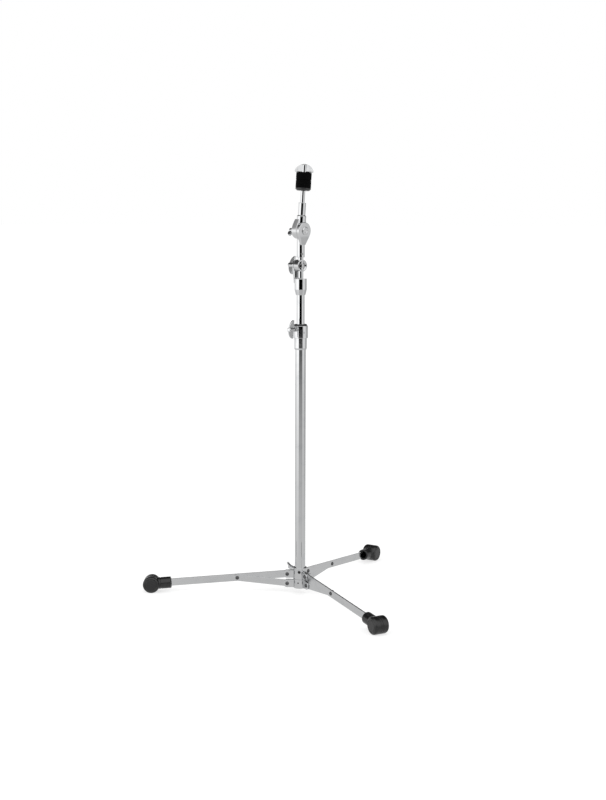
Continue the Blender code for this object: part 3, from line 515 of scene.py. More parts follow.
class Surface:
    """The nodes of a material or of the world."""

    def __init__(self, owner):
        owner.use_nodes = True
        self.tree = owner.node_tree

    def node(self, kind, settings=None, values=None):
        """Adds a node: its settings first, then the values or links of its sockets."""
        node = self.tree.nodes.new(kind)
        for name, value in (settings or {}).items():
            setattr(node, name, value)
        for name, value in (values or {}).items():
            self.feed(node.inputs[name], value)
        return node

    def feed(self, socket, value):
        """Links a socket to another, or sets its number or colour."""
        if isinstance(value, Value):
            value = value.socket
        if isinstance(value, bpy.types.NodeSocket):
            self.tree.links.new(value, socket)
        else:
            socket.default_value = value

    def value(self, kind, settings=None, values=None):
        """Adds a node and gives its first output as a number to go on with."""
        return Value(self, self.node(kind, settings, values).outputs[0])

    def sum(self, operation, first, second=0):
        """Adds a Math node."""
        return self.value("ShaderNodeMath", {"operation": operation}, {0: first, 1: second})

    def parts(self, vector):
        """X, Y and Z of a direction or place."""
        node = self.node("ShaderNodeSeparateXYZ", None, {0: vector})
        return [Value(self, socket) for socket in node.outputs]

    def rising(self, value, low, high):
        """0 below low and 1 above high, with an even slope between."""
        values = {"Value": value, "From Min": low, "From Max": high}
        return self.value("ShaderNodeMapRange", None, values)

    def between(self, value, low, high):
        """0 below low and 1 above high, with a soft step between."""
        settings = {"interpolation_type": "SMOOTHSTEP"}
        values = {"Value": value, "From Min": low, "From Max": high}
        return self.value("ShaderNodeMapRange", settings, values)


class Finish(Surface):
    """A material with one Principled shader, and noise in the piece's own coordinates."""

    def __init__(self, name, **constants):
        self.material = bpy.data.materials.new(name)
        super().__init__(self.material)
        self.shader = self.tree.nodes["Principled BSDF"]
        for socket, value in constants.items():
            self.feed(self.shader.inputs[socket.replace("_", " ")], value)
        self.place = self.node("ShaderNodeTexCoord").outputs["Object"]

    def noise(self, scale, detail=4.0, roughness=0.55, stretch=(1, 1, 1)):
        """Noise of this scale per metre, finer along an axis whose stretch is greater."""
        mapping = self.node("ShaderNodeMapping", None, {"Vector": self.place, "Scale": stretch})
        values = {
            "Vector": mapping.outputs[0],
            "Scale": scale,
            "Detail": detail,
            "Roughness": roughness,
        }
        return self.value("ShaderNodeTexNoise", None, values)

    def colour(self, share, first, second):
        """A colour between these two, by share."""
        mix = self.node("ShaderNodeMix", {"data_type": "RGBA"}, {0: share, 6: first, 7: second})
        self.feed(self.shader.inputs["Base Color"], mix.outputs[2])

    def roughness(self, value):
        self.feed(self.shader.inputs["Roughness"], value)

    def bump(self, height, distance):
        """Relief of this many metres at height 1."""
        values = {"Height": height, "Distance": distance, "Strength": 1.0}
        bump = self.node("ShaderNodeBump", None, values)
        self.feed(self.shader.inputs["Normal"], bump.outputs[0])


CHROME_DARK = (0.555, 0.565, 0.575, 1)
CHROME_LIGHT = (0.625, 0.63, 0.635, 1)


def chrome_tube():
    """Polished drawn tube: nearly flawless, with faint handling marks."""
    finish = Finish("chrome_tube", Metallic=1.0)
    smudge = finish.between(finish.noise(38, 5.0, 0.6), 0.48, 0.75)
    streak = finish.noise(420, 2.0, 0.5, (1, 1, 0.02))
    finish.colour(smudge, CHROME_LIGHT, CHROME_DARK)
    finish.roughness(smudge * 0.05 + streak * 0.03 + 0.025)
    finish.bump(finish.noise(55, 2.0), 0.00002)
    return finish.material


def chrome_cast():
    """Chrome over a casting: a slightly wavy skin."""
    finish = Finish("chrome_cast", Metallic=1.0)
    smudge = finish.between(finish.noise(60, 5.0, 0.6), 0.45, 0.72)
    wave = finish.noise(170, 3.0, 0.5)
    finish.colour(smudge, CHROME_LIGHT, CHROME_DARK)
    finish.roughness(smudge * 0.07 + 0.04)
    finish.bump(wave, 0.00005)
    return finish.material


def chrome_strip(name, azimuth):
    """Chromed flat bar: the rolled steel's long marks show faintly under the plate."""
    finish = Finish(name, Metallic=1.0)
    angle = (0, 0, -math.radians(azimuth))
    mapping = finish.node("ShaderNodeMapping", None, {"Vector": finish.place, "Rotation": angle})
    finish.place = mapping.outputs[0]
    smudge = finish.between(finish.noise(26, 5.0, 0.6), 0.45, 0.75)
    rolled = finish.noise(900, 3.0, 0.6, (0.02, 1, 1))
    finish.colour(smudge * 0.7 + rolled * 0.3, CHROME_LIGHT, CHROME_DARK)
    finish.roughness(rolled * 0.08 + smudge * 0.05 + 0.09)
    finish.bump(rolled + finish.noise(45, 2.0), 0.00003)
    return finish.material


def zinc_steel():
    """Zinc-plated steel: duller than the chrome, with a fine grain."""
    finish = Finish("zinc_steel", Metallic=1.0)
    patch = finish.noise(240, 4.0, 0.6)
    grain = finish.noise(2600, 2.0, 0.6)
    finish.colour(patch, (0.46, 0.46, 0.465, 1), (0.58, 0.58, 0.585, 1))
    finish.roughness(patch * 0.14 + 0.12)
    finish.bump(grain, 0.000008)
    return finish.material


def rivet_steel():
    """Unplated rivets, dulled, their steel colour darkened as painted shade and painted dark
    reflection.
    """
    finish = Finish("rivet_steel", Metallic=1.0)
    patch = finish.noise(300, 4.0, 0.6)
    # The dark colours paint in the shade and dark reflections round the rivet heads; the patches
    # between them vary at random.
    finish.colour(patch, (0.05, 0.05, 0.052, 1), (0.2, 0.2, 0.205, 1))
    finish.roughness(patch * 0.2 + 0.14)
    finish.bump(finish.noise(2000, 2.0, 0.6), 0.000008)
    return finish.material


def moulded_rubber():
    """Black rubber with a fine matt grain, greyer where it is handled."""
    finish = Finish("moulded_rubber", Specular_IOR_Level=0.62)
    patch = finish.noise(70, 5.0, 0.62)
    grain = finish.noise(1900, 3.0, 0.6)
    dust = finish.between(patch + grain * 0.3, 0.62, 0.95)
    finish.colour(dust, (0.002, 0.002, 0.0022, 1), (0.012, 0.012, 0.012, 1))
    finish.roughness(patch * 0.16 + grain * 0.08 + 0.16)
    finish.bump(grain * 0.7 + patch * 0.6, 0.00004)
    return finish.material


def black_nylon():
    """Satin black moulding."""
    finish = Finish("black_nylon", Specular_IOR_Level=0.45)
    patch = finish.noise(90, 4.0, 0.6)
    grain = finish.noise(2400, 2.0, 0.6)
    finish.colour(patch, (0.012, 0.012, 0.013, 1), (0.021, 0.021, 0.022, 1))
    finish.roughness(patch * 0.12 + grain * 0.08 + 0.32)
    finish.bump(grain, 0.00002)
    return finish.material


def glossy_nylon():
    """Black moulding with a shiny skin, for the cup under the felts."""
    finish = Finish("glossy_nylon", Specular_IOR_Level=0.6)
    patch = finish.noise(120, 4.0, 0.6)
    finish.colour(patch, (0.010, 0.010, 0.011, 1), (0.018, 0.018, 0.019, 1))
    finish.roughness(patch * 0.12 + 0.15)
    finish.bump(finish.noise(300, 2.0), 0.00003)
    return finish.material


def black_felt():
    """Pressed wool felt: matted fibres that run every way, with paler ends standing out."""
    constants = {"Specular_IOR_Level": 0.03, "Sheen_Weight": 0.015, "Sheen_Roughness": 0.6}
    finish = Finish("black_felt", **constants)
    flat = finish.noise(900, 4.0, 0.7, (1, 1, 6))
    upright = finish.noise(1100, 4.0, 0.7, (6, 6, 1))
    clump = finish.noise(130, 4.0, 0.6)
    fibre = finish.between(flat * 0.5 + upright * 0.5, 0.5, 0.66)
    finish.colour(fibre * 0.8 + clump * 0.2, (0.0005, 0.0005, 0.0005, 1), (0.016, 0.016, 0.017, 1))
    finish.roughness(fibre * 0.1 + 0.88)
    finish.bump(fibre + clump * 0.8, 0.00022)
    return finish.material


FINISHES = {
    "tube": (chrome_tube(), "chrome"),
    "cast": (chrome_cast(), "chrome"),
    "steel": (zinc_steel(), "steel"),
    # The rivets' finish has painted shade and painted dark reflection in its colour.
    "rivet": (rivet_steel(), "steel"),
    "rubber": (moulded_rubber(), "rubber"),
    "nylon": (black_nylon(), "nylon"),
    "cup": (glossy_nylon(), "nylon"),
    "felt": (black_felt(), "felt"),
}
for side, side_azimuth in LEG_AZIMUTHS.items():
    FINISHES[side] = (chrome_strip(f"chrome_strip_{side}", side_azimuth), "chrome")


# Rivets, washers, screws and wings

def rivet_head(face, outward):
    """Profile of a rolled rivet head with a dimple in its middle, from the middle outward."""
    return [
        (0, face + outward * DIMPLE_FLOOR),
        (DIMPLE_R, face + outward * DIMPLE_FLOOR, 0.3),
        (DIMPLE_R + 0.2, face + outward * (PIN_HEAD_RISE - 0.2), 0.3),
        (DIMPLE_R + 1.0, face + outward * PIN_HEAD_RISE, 0.8),
        (PIN_HEAD_R, face + outward * PIN_HEAD_RIM, 0.8),
        (PIN_HEAD_R, face, 0.1),
    ]


def rivet(name, low, high, low_head=True, high_head=True):
    """A rivet along Z, with a rolled head beyond either end or flush there."""
    profile = rivet_head(low, -1) if low_head else [(0, low)]
    profile += [(PIN_R, low, 0.1), (PIN_R, high, 0.1)]
    profile += reversed(rivet_head(high, 1)) if high_head else [(0, high)]
    return turned(name, profile, 0.2, steps=SMALL_ROUND)


def small_rivet(name, azimuth, z, face):
    """A small domed rivet in a clamp's round face."""
    top = face + SMALL_RIVET_RISE
    profile = [(0, HUB_BORE_R), (SMALL_RIVET_R, HUB_BORE_R), (SMALL_RIVET_R, top - 0.4, 0.5)]
    profile += [(SMALL_RIVET_R - 0.6, top, 0.6), (0, top)]
    return put(turned(name, profile, 0.2, steps=TINY_ROUND), radial(azimuth, 0, z))


def wing_leaf():
    """Half-disc wing with rounded edges, standing on XY, with a hole near each tip."""
    half = WING_SPAN / 2
    radius = (half**2 + WING_RISE**2) / (2 * WING_RISE)
    low = math.degrees(math.asin((radius - WING_RISE) / radius)) + WING_TIP_ANGLE
    tips = [(-half, 0, WING_TIP_EASE), (half, 0, WING_TIP_EASE)]
    outline = [*tips, *arc(0, WING_RISE - radius, radius, low, 180 - low, 36)]
    outline = [tuple(point) for point in eased(outline, 0, closed=True)]
    leaf = slab("wing_leaf", outline, -WING_THICK / 2, WING_THICK / 2)
    taper = {"deform_method": "TAPER", "deform_axis": "Y", "factor": WING_TAPER, "lock_x": True}
    use(leaf, "SIMPLE_DEFORM", **taper)
    ease_edges(leaf, WING_EASE)
    end = WING_SINK_FLOOR + 1.3
    profile = [(0, -end), (WING_SINK_R, -end), (WING_HOLE_R, -WING_SINK_FLOOR)]
    profile += [(WING_HOLE_R, WING_SINK_FLOOR), (WING_SINK_R, end), (0, end)]
    for reach in (-WING_HOLE_REACH, WING_HOLE_REACH):
        hole = turned("wing_hole", profile, 0.0, steps=TINY_ROUND)
        combine(leaf, put(hole, Matrix.Translation((reach, WING_HOLE_Z, 0))), "DIFFERENCE")
    put(leaf, Matrix.Rotation(math.radians(90), 4, "X"))
    only(leaf)
    bpy.ops.object.transform_apply(location=False, rotation=True, scale=False)
    return leaf


LEAF = wing_leaf()


def wing(name, foot, below, body, matrix):
    """A wing on a hub that reaches foot below its flat side, with this profile further down."""
    top = WING_RISE - WING_HUB_DROP
    hub = [(0, top), (WING_HUB_R - WING_HUB_DOME, top, 2.0), (WING_HUB_R, top - WING_HUB_DOME, 1.4)]
    hub += [(WING_HUB_R, -foot, 0.5), *below]
    piece = turned(name, hub, 0.3, steps=BOSS_ROUND)
    combine(piece, again(LEAF, f"{name}_leaf"), "UNION")
    put(piece, matrix)
    done(piece, body, "cast")


def wing_screw(name, foot, shank, body, matrix):
    """A wing with a screw that reaches shank below its flat side."""
    below = [(THREAD_R, -foot, 0.1), (THREAD_R, -shank, 0.3), (0, -shank)]
    wing(name, foot, below, body, matrix)


def wing_nut(name, foot, bore, body, matrix):
    """A wing with a blind hole of this depth in its foot."""
    roof = bore - foot
    below = [(THREAD_HOLE_R, -foot, 0.3), (THREAD_HOLE_R, roof, 0.1), (0, roof)]
    wing(name, foot, below, body, matrix)


# Tubes

def build_tubes():
    """Lower tube with its end cap, upper tube and boom arm."""
    tube = put(ring("fine_base_tube", TUBE_INNER_R, TUBE_R, TUBE_BOTTOM, TUBE_TOP), COLUMN)
    done(tube, "column", "tube")
    mast = put(ring("fine_upper_tube", MAST_INNER_R, MAST_R, MAST_BOTTOM, MAST_TOP), COLUMN)
    done(mast, "mast", "tube")
    arm = put(rod("fine_boom_arm", ARM_R, ARM_BOTTOM, ARM_TOP, 0.8), COLUMN)
    done(arm, "boom", "tube")
    low = TUBE_BOTTOM - CLEAR
    profile = [
        (0, low + CAP_PLUG),
        (TUBE_INNER_R - CLEAR, low + CAP_PLUG, 0.8),
        (TUBE_INNER_R - CLEAR, low, 0.1),
        (TUBE_R, low, 0.3),
        (TUBE_R, low - CAP_RIM, 1.0),
        (CAP_DISH_R, low - CAP_RIM, 0.4),
        (CAP_DISH_R - 1.0, low - CAP_RIM + CAP_DISH, 0.4),
        (0, low - CAP_RIM + CAP_DISH),
    ]
    cap = put(turned("fine_tube_end_cap", profile), COLUMN)
    done(cap, "column", "nylon")


# Hubs, legs and struts

def add_ears(hub, z, centre, gap):
    """Joins a pair of ears for each leg or strut."""
    root = (HUB_BORE_R + HUB_R) / 2
    outline = [(root, -EAR_R), *arc(PIN_REACH, 0, EAR_R, -90, 90), (root, EAR_R)]
    ear = plate("ear", outline, -EAR_THICK / 2, EAR_THICK / 2, EAR_EASE)
    for azimuth in LEG_AZIMUTHS.values():
        for side in (-1, 1):
            offset = centre + side * (gap + EAR_THICK) / 2
            copy = put(again(ear, "ear_copy"), leg_plane(azimuth, 0, z, 0, offset))
            combine(hub, copy, "UNION")
    bpy.data.objects.remove(ear)


def add_boss(piece, azimuth, z, radius, reach):
    """Joins a threaded boss and drills it through to the tube."""
    root = (HUB_BORE_R + HUB_R) / 2
    boss = rod("boss", radius, root, reach, BOSS_EASE, BOSS_ROUND)
    combine(piece, put(boss, radial(azimuth, 0, z)), "UNION")
    past = reach + 0.5
    profile = [(0, 0), (THREAD_HOLE_R, 0), (THREAD_HOLE_R, reach - 0.6), (BOSS_SINK_R, past), (0, past)]
    hole = turned("boss_hole", profile, 0.0, steps=SMALL_ROUND)
    combine(piece, put(hole, radial(azimuth, 0, z)), "DIFFERENCE")


def drill_wall(piece, azimuth, z, radius):
    """Drills a round hole through one side of a collar's wall."""
    drill(piece, radius, 0, HUB_R * 2, radial(azimuth, 0, z))


def build_lower_hub():
    """The fixed collar, with its rivets."""
    hub = ring("fine_lower_hub", HUB_BORE_R, HUB_R, HUB_BOTTOM, HUB_SPLIT - CLEAR, HUB_EASE)
    put(hub, COLUMN)
    gap = STRUT_THICK + 2 * CLEAR
    add_ears(hub, STRUT_PIN_Z, STRUT_OFFSET, gap)
    drill_wall(hub, *HUB_RIVET, SMALL_RIVET_R + CLEAR)
    done(hub, "column", "cast")
    reach = gap / 2 + EAR_THICK + CLEAR
    pin = rivet("strut_pin", -reach, reach)
    for name, azimuth in LEG_AZIMUTHS.items():
        place = leg_plane(azimuth, PIN_REACH, STRUT_PIN_Z, 0, STRUT_OFFSET)
        copied(pin, f"strut_pin_{name}", place, "column", "rivet")
    bpy.data.objects.remove(pin)
    done(small_rivet("fine_lower_hub_rivet", *HUB_RIVET, HUB_R), "column", "rivet")


def build_upper_hub():
    """The sliding collar, with its rivets, plug and wing screw."""
    hub = put(ring("fine_upper_hub", HUB_BORE_R, HUB_R, HUB_SPLIT, HUB_TOP, HUB_EASE), COLUMN)
    gap = LEG_THICK + 2 * CLEAR
    add_ears(hub, LEG_PIN_Z, 0, gap)
    add_boss(hub, *BASE_SCREW, BASE_BOSS_R, BASE_BOSS_REACH)
    drill_wall(hub, *HUB_PLUG, HUB_PLUG_R + CLEAR)
    done(hub, "hub_collar", "cast")
    reach = gap / 2 + EAR_THICK + CLEAR
    pin = rivet("leg_pin", -reach, reach)
    for name, azimuth in LEG_AZIMUTHS.items():
        place = leg_plane(azimuth, PIN_REACH, LEG_PIN_Z, 0)
        copied(pin, f"leg_pin_{name}", place, "hub_collar", "rivet")
    bpy.data.objects.remove(pin)
    top = HUB_R - HUB_PLUG_SINK
    profile = [(0, HUB_BORE_R), (HUB_PLUG_R, HUB_BORE_R), (HUB_PLUG_R, top), (HUB_PLUG_DIMPLE_R, top)]
    profile += [(HUB_PLUG_DIMPLE_R - 0.4, top - 0.8), (0, top - 0.8)]
    plug = turned("fine_hub_plug", profile, 0.3, steps=SMALL_ROUND)
    put(plug, radial(HUB_PLUG[0], 0, HUB_PLUG[1]))
    done(plug, "hub_collar", "nylon")
    shank = BASE_WING_REACH - TUBE_R - 2 * CLEAR - PAD_THICK
    place = radial(BASE_SCREW[0], BASE_WING_REACH, BASE_SCREW[1], BASE_WING_TURN)
    wing_screw("fine_base_wing_screw", BASE_WING_FOOT, shank, "base_screw", place)


def build_legs():
    """Legs, struts, the rivets where they cross, and feet."""
    run = FOOT_REACH - PIN_REACH
    slope = math.degrees(math.atan2(LEG_PIN_Z - FOOT_CENTRE_Z, run))
    to_foot = math.hypot(run, LEG_PIN_Z - FOOT_CENTRE_Z)
    to_rivet = (RIVET_REACH - PIN_REACH) / math.cos(math.radians(slope))
    rivet_z = LEG_PIN_Z - to_rivet * math.sin(math.radians(slope))
    length = to_foot - (NECK_MOUTH - SOCKET_DEPTH) - CLEAR
    half = LEG_WIDTH / 2
    outline = [*arc(0, 0, half, 90, 270), (length, -half), (length, half)]
    leg = plate("leg", outline, -LEG_THICK / 2, LEG_THICK / 2, LEG_EASE)
    climb = math.degrees(math.atan2(rivet_z - STRUT_PIN_Z, RIVET_REACH - PIN_REACH))
    reach = math.hypot(rivet_z - STRUT_PIN_Z, RIVET_REACH - PIN_REACH)
    half = STRUT_WIDTH / 2
    outline = [*arc(0, 0, half, 90, 270), *arc(reach, 0, half, -90, 90)]
    strut = plate("strut", outline, -STRUT_THICK / 2, STRUT_THICK / 2, STRUT_EASE)
    leg_face = LEG_THICK / 2
    head = rivet("mid_rivet", -leg_face - CLEAR, leg_face, True, False)
    strut_low = STRUT_OFFSET - STRUT_THICK / 2
    cap = rivet("mid_rivet_cap", strut_low, strut_low + STRUT_THICK + CLEAR, False, True)
    foot = rubber_foot(slope)
    for name, azimuth in LEG_AZIMUTHS.items():
        leg_body = f"{name}_leg"
        strut_body = f"{name}_strut"
        place = leg_plane(azimuth, PIN_REACH, LEG_PIN_Z, -slope)
        copied(leg, f"leg_{name}", place, leg_body, name)
        place = leg_plane(azimuth, PIN_REACH, STRUT_PIN_Z, climb, STRUT_OFFSET)
        copied(strut, f"strut_{name}", place, strut_body, name)
        place = leg_plane(azimuth, RIVET_REACH, rivet_z, 0)
        copied(head, f"mid_rivet_{name}", place, leg_body, "rivet")
        copied(cap, f"mid_rivet_cap_{name}", place, strut_body, "rivet")
        place = leg_plane(azimuth, FOOT_REACH, FOOT_CENTRE_Z, 0)
        copied(foot, f"foot_{name}", place, leg_body, "rubber", 50)
    for piece in (leg, strut, head, cap, foot):
        bpy.data.objects.remove(piece)


def rubber_foot(slope):
    """Boot of one moulding: a drum across the leg's end, with a neck that takes the strip."""
    disc = DRUM_HALF - 0.25
    floor = DRUM_HALF - DRUM_GROOVE
    face = [(0, disc), (DRUM_DISC_R, disc, 0.3), (DRUM_DISC_R + 0.3, floor, 0.2)]
    face += [(DRUM_RIM_R - 0.3, floor, 0.2), (DRUM_RIM_R, DRUM_HALF - 0.02, 0.4)]
    face += arc(DRUM_R - DRUM_EDGE, DRUM_HALF - DRUM_EDGE, DRUM_EDGE, 76, 0, 10)
    tread = DRUM_R - TREAD_DEPTH
    face += [(DRUM_R, TREAD_GROOVE + 0.8, 0.2), (tread, TREAD_GROOVE + 0.4, 0.2)]
    face += [(tread, TREAD_GROOVE - 0.4, 0.2), (DRUM_R, TREAD_GROOVE - 0.8, 0.2)]
    back = [(point[0], -point[1], *point[2:]) for point in reversed(face)]
    foot = turned("foot", face + back, 0.2)
    inward = Matrix.Rotation(math.radians(slope), 4, "Z") @ Matrix.Rotation(math.radians(-90), 4, "Y")
    waist = NECK_R - NECK_GROOVE_DEPTH
    neck = [(0, 0), (NECK_R, 0), (NECK_R, NECK_GROOVE - 1.0), (waist, NECK_GROOVE - 0.6)]
    neck += [(waist, NECK_GROOVE + 0.6), (NECK_R, NECK_GROOVE + 1.0)]
    neck += [(NECK_R, NECK_MOUTH, 1.6), (0, NECK_MOUTH)]
    combine(foot, put(turned("neck", neck, 0.3), inward), "UNION")
    low = NECK_MOUTH - SOCKET_DEPTH
    flare_r = SOCKET_R + SOCKET_FLARE
    socket = [(0, low), (SOCKET_R, low), (SOCKET_R, NECK_MOUTH - SOCKET_FLARE)]
    socket += [(flare_r, NECK_MOUTH + 0.5), (flare_r, NECK_MOUTH + 5), (0, NECK_MOUTH + 5)]
    combine(foot, put(turned("socket", socket, 0.5), inward), "DIFFERENCE")
    use(foot, "REMESH", mode="VOXEL", voxel_size=RUBBER_VOXEL)
    use(foot, "SMOOTH", factor=0.5, iterations=5)
    bpy.ops.object.select_all(action="DESELECT")
    bpy.ops.mesh.primitive_cube_add(size=GROUND)
    below = Matrix.Translation((0, FOOT_CENTRE_Z + GROUND / 2, 0))
    combine(foot, put(bpy.context.object, below), "DIFFERENCE")
    return foot


# Height clamp

def build_height_clamp():
    """The collar at the lower tube's top, with its rivet, wing screw and bush."""
    profile = [
        (CLAMP_COLLAR_R, TUBE_TOP, 1.0),
        (CLAMP_COLLAR_R, CLAMP_STEP, 0.9),
        (CLAMP_SLEEVE_R, CLAMP_STEP, 0.3),
        (CLAMP_SLEEVE_R, CLAMP_BOTTOM + CLAMP_CONE, 1.0),
        (CLAMP_NECK_R, CLAMP_BOTTOM, 0.4),
        (HUB_BORE_R, CLAMP_BOTTOM),
        (HUB_BORE_R, TUBE_TOP),
    ]
    clamp = put(turned("fine_height_clamp", profile, 0.3, closed=True), COLUMN)
    add_boss(clamp, *CLAMP_SCREW, CLAMP_BOSS_R, CLAMP_BOSS_REACH)
    drill_wall(clamp, *CLAMP_RIVET, SMALL_RIVET_R + CLEAR)
    done(clamp, "column", "cast")
    done(small_rivet("fine_clamp_rivet", *CLAMP_RIVET, CLAMP_COLLAR_R), "column", "steel")
    shank = CLAMP_WING_REACH - MAST_R - 2 * CLEAR - PAD_THICK
    place = radial(CLAMP_SCREW[0], CLAMP_WING_REACH, CLAMP_SCREW[1], CLAMP_WING_TURN)
    wing_screw("fine_height_wing_screw", CLAMP_WING_FOOT, shank, "height_screw", place)
    low = TUBE_TOP + CLEAR
    profile = [
        (BUSH_R - 1.0, low + BUSH_RIM, 0.5),
        (BUSH_R, low + BUSH_RIM - 1.1, 0.6),
        (BUSH_R, low, 0.3),
        (TUBE_INNER_R - CLEAR, low, 0.1),
        (TUBE_INNER_R - CLEAR, low - BUSH_LENGTH),
        (MAST_R + CLEAR, low - BUSH_LENGTH),
        (MAST_R + CLEAR, low + BUSH_RIM, 0.5),
    ]
    bush = put(turned("fine_clamp_bush", profile, 0.3, closed=True), COLUMN)
    done(bush, "column", "nylon")


# Boom clamp

def build_boom_clamp():
    """Sleeve and cheek on the upper tube, and the block, eye bolt, washer and nut."""
    seat_r = MAST_R + CLEAR
    bore_r = ARM_R + CLEAR
    profile = [
        (BOOM_SLEEVE_R, BOOM_TOP, 0.9),
        (BOOM_SLEEVE_R, BOOM_BOTTOM + BOOM_CONE, 1.5),
        (BOOM_NECK_R, BOOM_BOTTOM, 0.6),
        (seat_r, BOOM_BOTTOM),
        (seat_r, MAST_TOP + CLEAR),
        (bore_r, MAST_TOP + CLEAR),
        (bore_r, BOOM_TOP, 0.8),
    ]
    base = put(turned("fine_boom_clamp_base", profile, 0.3, closed=True), COLUMN)
    place = across(BOOM_AZIMUTH, BOOM_PIVOT)
    outline = [*arc(0, 0, BOOM_DISC_R, -30, 210, 40), (-CHEEK_HALF, CHEEK_LOW), (CHEEK_HALF, CHEEK_LOW)]
    cheek = put(slab("cheek", outline, BOOM_BACK + CLEAR, CHEEK_BACK), place)
    cut_slope(cheek, place, CHEEK_BACK, BOOM_DISC_R, *CHEEK_SLOPE)
    ease_edges(cheek, 0.8, 50)
    combine(base, cheek, "UNION")
    drill(base, THREAD_HOLE_R, 0, BOOM_BOLT_END, place)
    done(base, "mast", "cast")

    block = put(rod("fine_boom_clamp_block", BOOM_DISC_R, BOOM_FRONT, BOOM_BACK, 1.2), place)
    dish = [(0, BOOM_DISH_FLOOR), (BOOM_DISH_R, BOOM_DISH_FLOOR), (BOOM_DISC_R - 1.9, BOOM_FRONT + 0.4)]
    dish += [(BOOM_DISC_R - 1.2, BOOM_FRONT - 1), (0, BOOM_FRONT - 1)]
    combine(block, put(turned("dish", dish, 1.5), place), "DIFFERENCE")
    upright = COLUMN @ shifted(BOOM_PIVOT)
    slot_half = BOOM_EYE_HALF + CLEAR
    drill(block, BOOM_EYE_R + CLEAR, -slot_half, slot_half, upright, ROUND)
    drill(block, bore_r, -2 * BOOM_DISC_R, 2 * BOOM_DISC_R, upright, ROUND)
    drill(block, THREAD_HOLE_R, 0, BOOM_BOLT_END, place)
    done(block, "boom_block", "cast")

    eye = ring("fine_boom_eye_bolt", bore_r, BOOM_EYE_R, -BOOM_EYE_HALF, BOOM_EYE_HALF, 0.9)
    put(eye, upright)
    shank = rod("shank", THREAD_R, (bore_r + BOOM_EYE_R) / 2, BOOM_BOLT_END, 0.4, SMALL_ROUND)
    combine(eye, put(shank, place), "UNION")
    done(eye, "boom_block", "steel")

    low = CHEEK_BACK + CLEAR
    washer = ring("fine_boom_washer", THREAD_HOLE_R, WASHER_R, low, low + WASHER_THICK, 0.3)
    done(put(washer, place), "boom_bolt_washer", "steel")
    low += WASHER_THICK + CLEAR
    turn = Matrix.Rotation(math.radians(90 + BOOM_WING_TURN), 4, "Z")
    bore = BOOM_BOLT_END - low + CLEAR
    nut_place = place @ shifted(low + BOOM_WING_FOOT) @ turn
    wing_nut("fine_boom_wing_nut", BOOM_WING_FOOT, bore, "boom_nut", nut_place)


# Tilter

def teardrop(radius, neck_half, neck_y):
    """A disc whose sides run straight to a neck below it, where they touch the disc."""
    distance = math.hypot(neck_half, neck_y)
    bearing = math.degrees(math.atan2(neck_y, neck_half))
    touch = bearing + math.degrees(math.acos(radius / distance))
    return [*arc(0, 0, radius, touch, 180 - touch, 48), (-neck_half, neck_y), (neck_half, neck_y)]


def build_tilter():
    """Lower half of the tilter on the boom arm, with its grub screw, bolt, washer and nut."""
    place = across(TILTER_AZIMUTH, TILTER_PIVOT)
    bore_r = ARM_R + CLEAR
    top = TILTER_PIVOT - TILTER_DISC_R - 2 * CLEAR
    profile = [
        (0, top),
        (SOCKET_OUTER_R, top, 1.0),
        (SOCKET_OUTER_R, SOCKET_BOTTOM, 0.8),
        (bore_r, SOCKET_BOTTOM, 0.4),
        (bore_r, ARM_TOP + CLEAR, 0.1),
        (0, ARM_TOP + CLEAR),
    ]
    lower = put(turned("fine_tilter_lower", profile), COLUMN)
    face = slab("face", teardrop(TILTER_DISC_R, *FACE_NECK), TILTER_SPLIT + CLEAR, TILTER_FRONT)
    put(face, place)
    for y, angle in FACE_SLOPES:
        cut_slope(face, place, TILTER_FRONT, TILTER_DISC_R, y, angle)
    ease_edges(face, TILTER_EASE, 50)
    combine(lower, face, "UNION")
    drill(lower, THREAD_HOLE_R, -2, 20, place)
    grub_place = radial(GRUB[0], 0, GRUB[1])
    drill(lower, GRUB_R + CLEAR, 0, 20, grub_place)
    done(lower, "boom", "cast")

    grub = rod("fine_arm_grub_screw", GRUB_R, bore_r, bore_r + GRUB_LENGTH, 0.3, SMALL_ROUND)
    drill(grub, GRUB_KEY_R, bore_r + 0.8, bore_r + 4, shifted(0), 6)
    done(put(grub, grub_place), "boom", "steel")

    low = TILTER_FRONT + CLEAR
    end = TILTER_BACK - 2 * CLEAR - WASHER_THICK - BOLT_SPARE
    profile = [
        (0, low + BOLT_DISH_FLOOR),
        (BOLT_DISH_R, low + BOLT_DISH_FLOOR, 0.5),
        (BOLT_DISH_R + 0.8, low + BOLT_HEAD_RISE, 0.5),
        (BOLT_HEAD_R - 1.4, low + BOLT_HEAD_RISE, 1.2),
        (BOLT_HEAD_R, low + 1.0, 0.9),
        (BOLT_HEAD_R, low, 0.2),
        (THREAD_R, low, 0.1),
        (THREAD_R, end, 0.4),
        (0, end),
    ]
    done(put(turned("fine_tilter_bolt", profile), place), "boom", "cast")
    high = TILTER_BACK - CLEAR
    washer = ring("fine_tilter_washer", THREAD_HOLE_R, WASHER_R, high - WASHER_THICK, high, 0.3)
    done(put(washer, place), "tilter_bolt_washer", "steel")
    high -= WASHER_THICK + CLEAR
    backward = Matrix.Rotation(math.radians(180), 4, "Y")
    turn = Matrix.Rotation(math.radians(TILTER_WING_TURN), 4, "Z")
    nut_place = place @ shifted(high - TILTER_WING_FOOT) @ backward @ turn
    bore = high - end + CLEAR
    wing_nut("fine_tilter_wing_nut", TILTER_WING_FOOT, bore, "tilter_nut", nut_place)
    build_head(place)


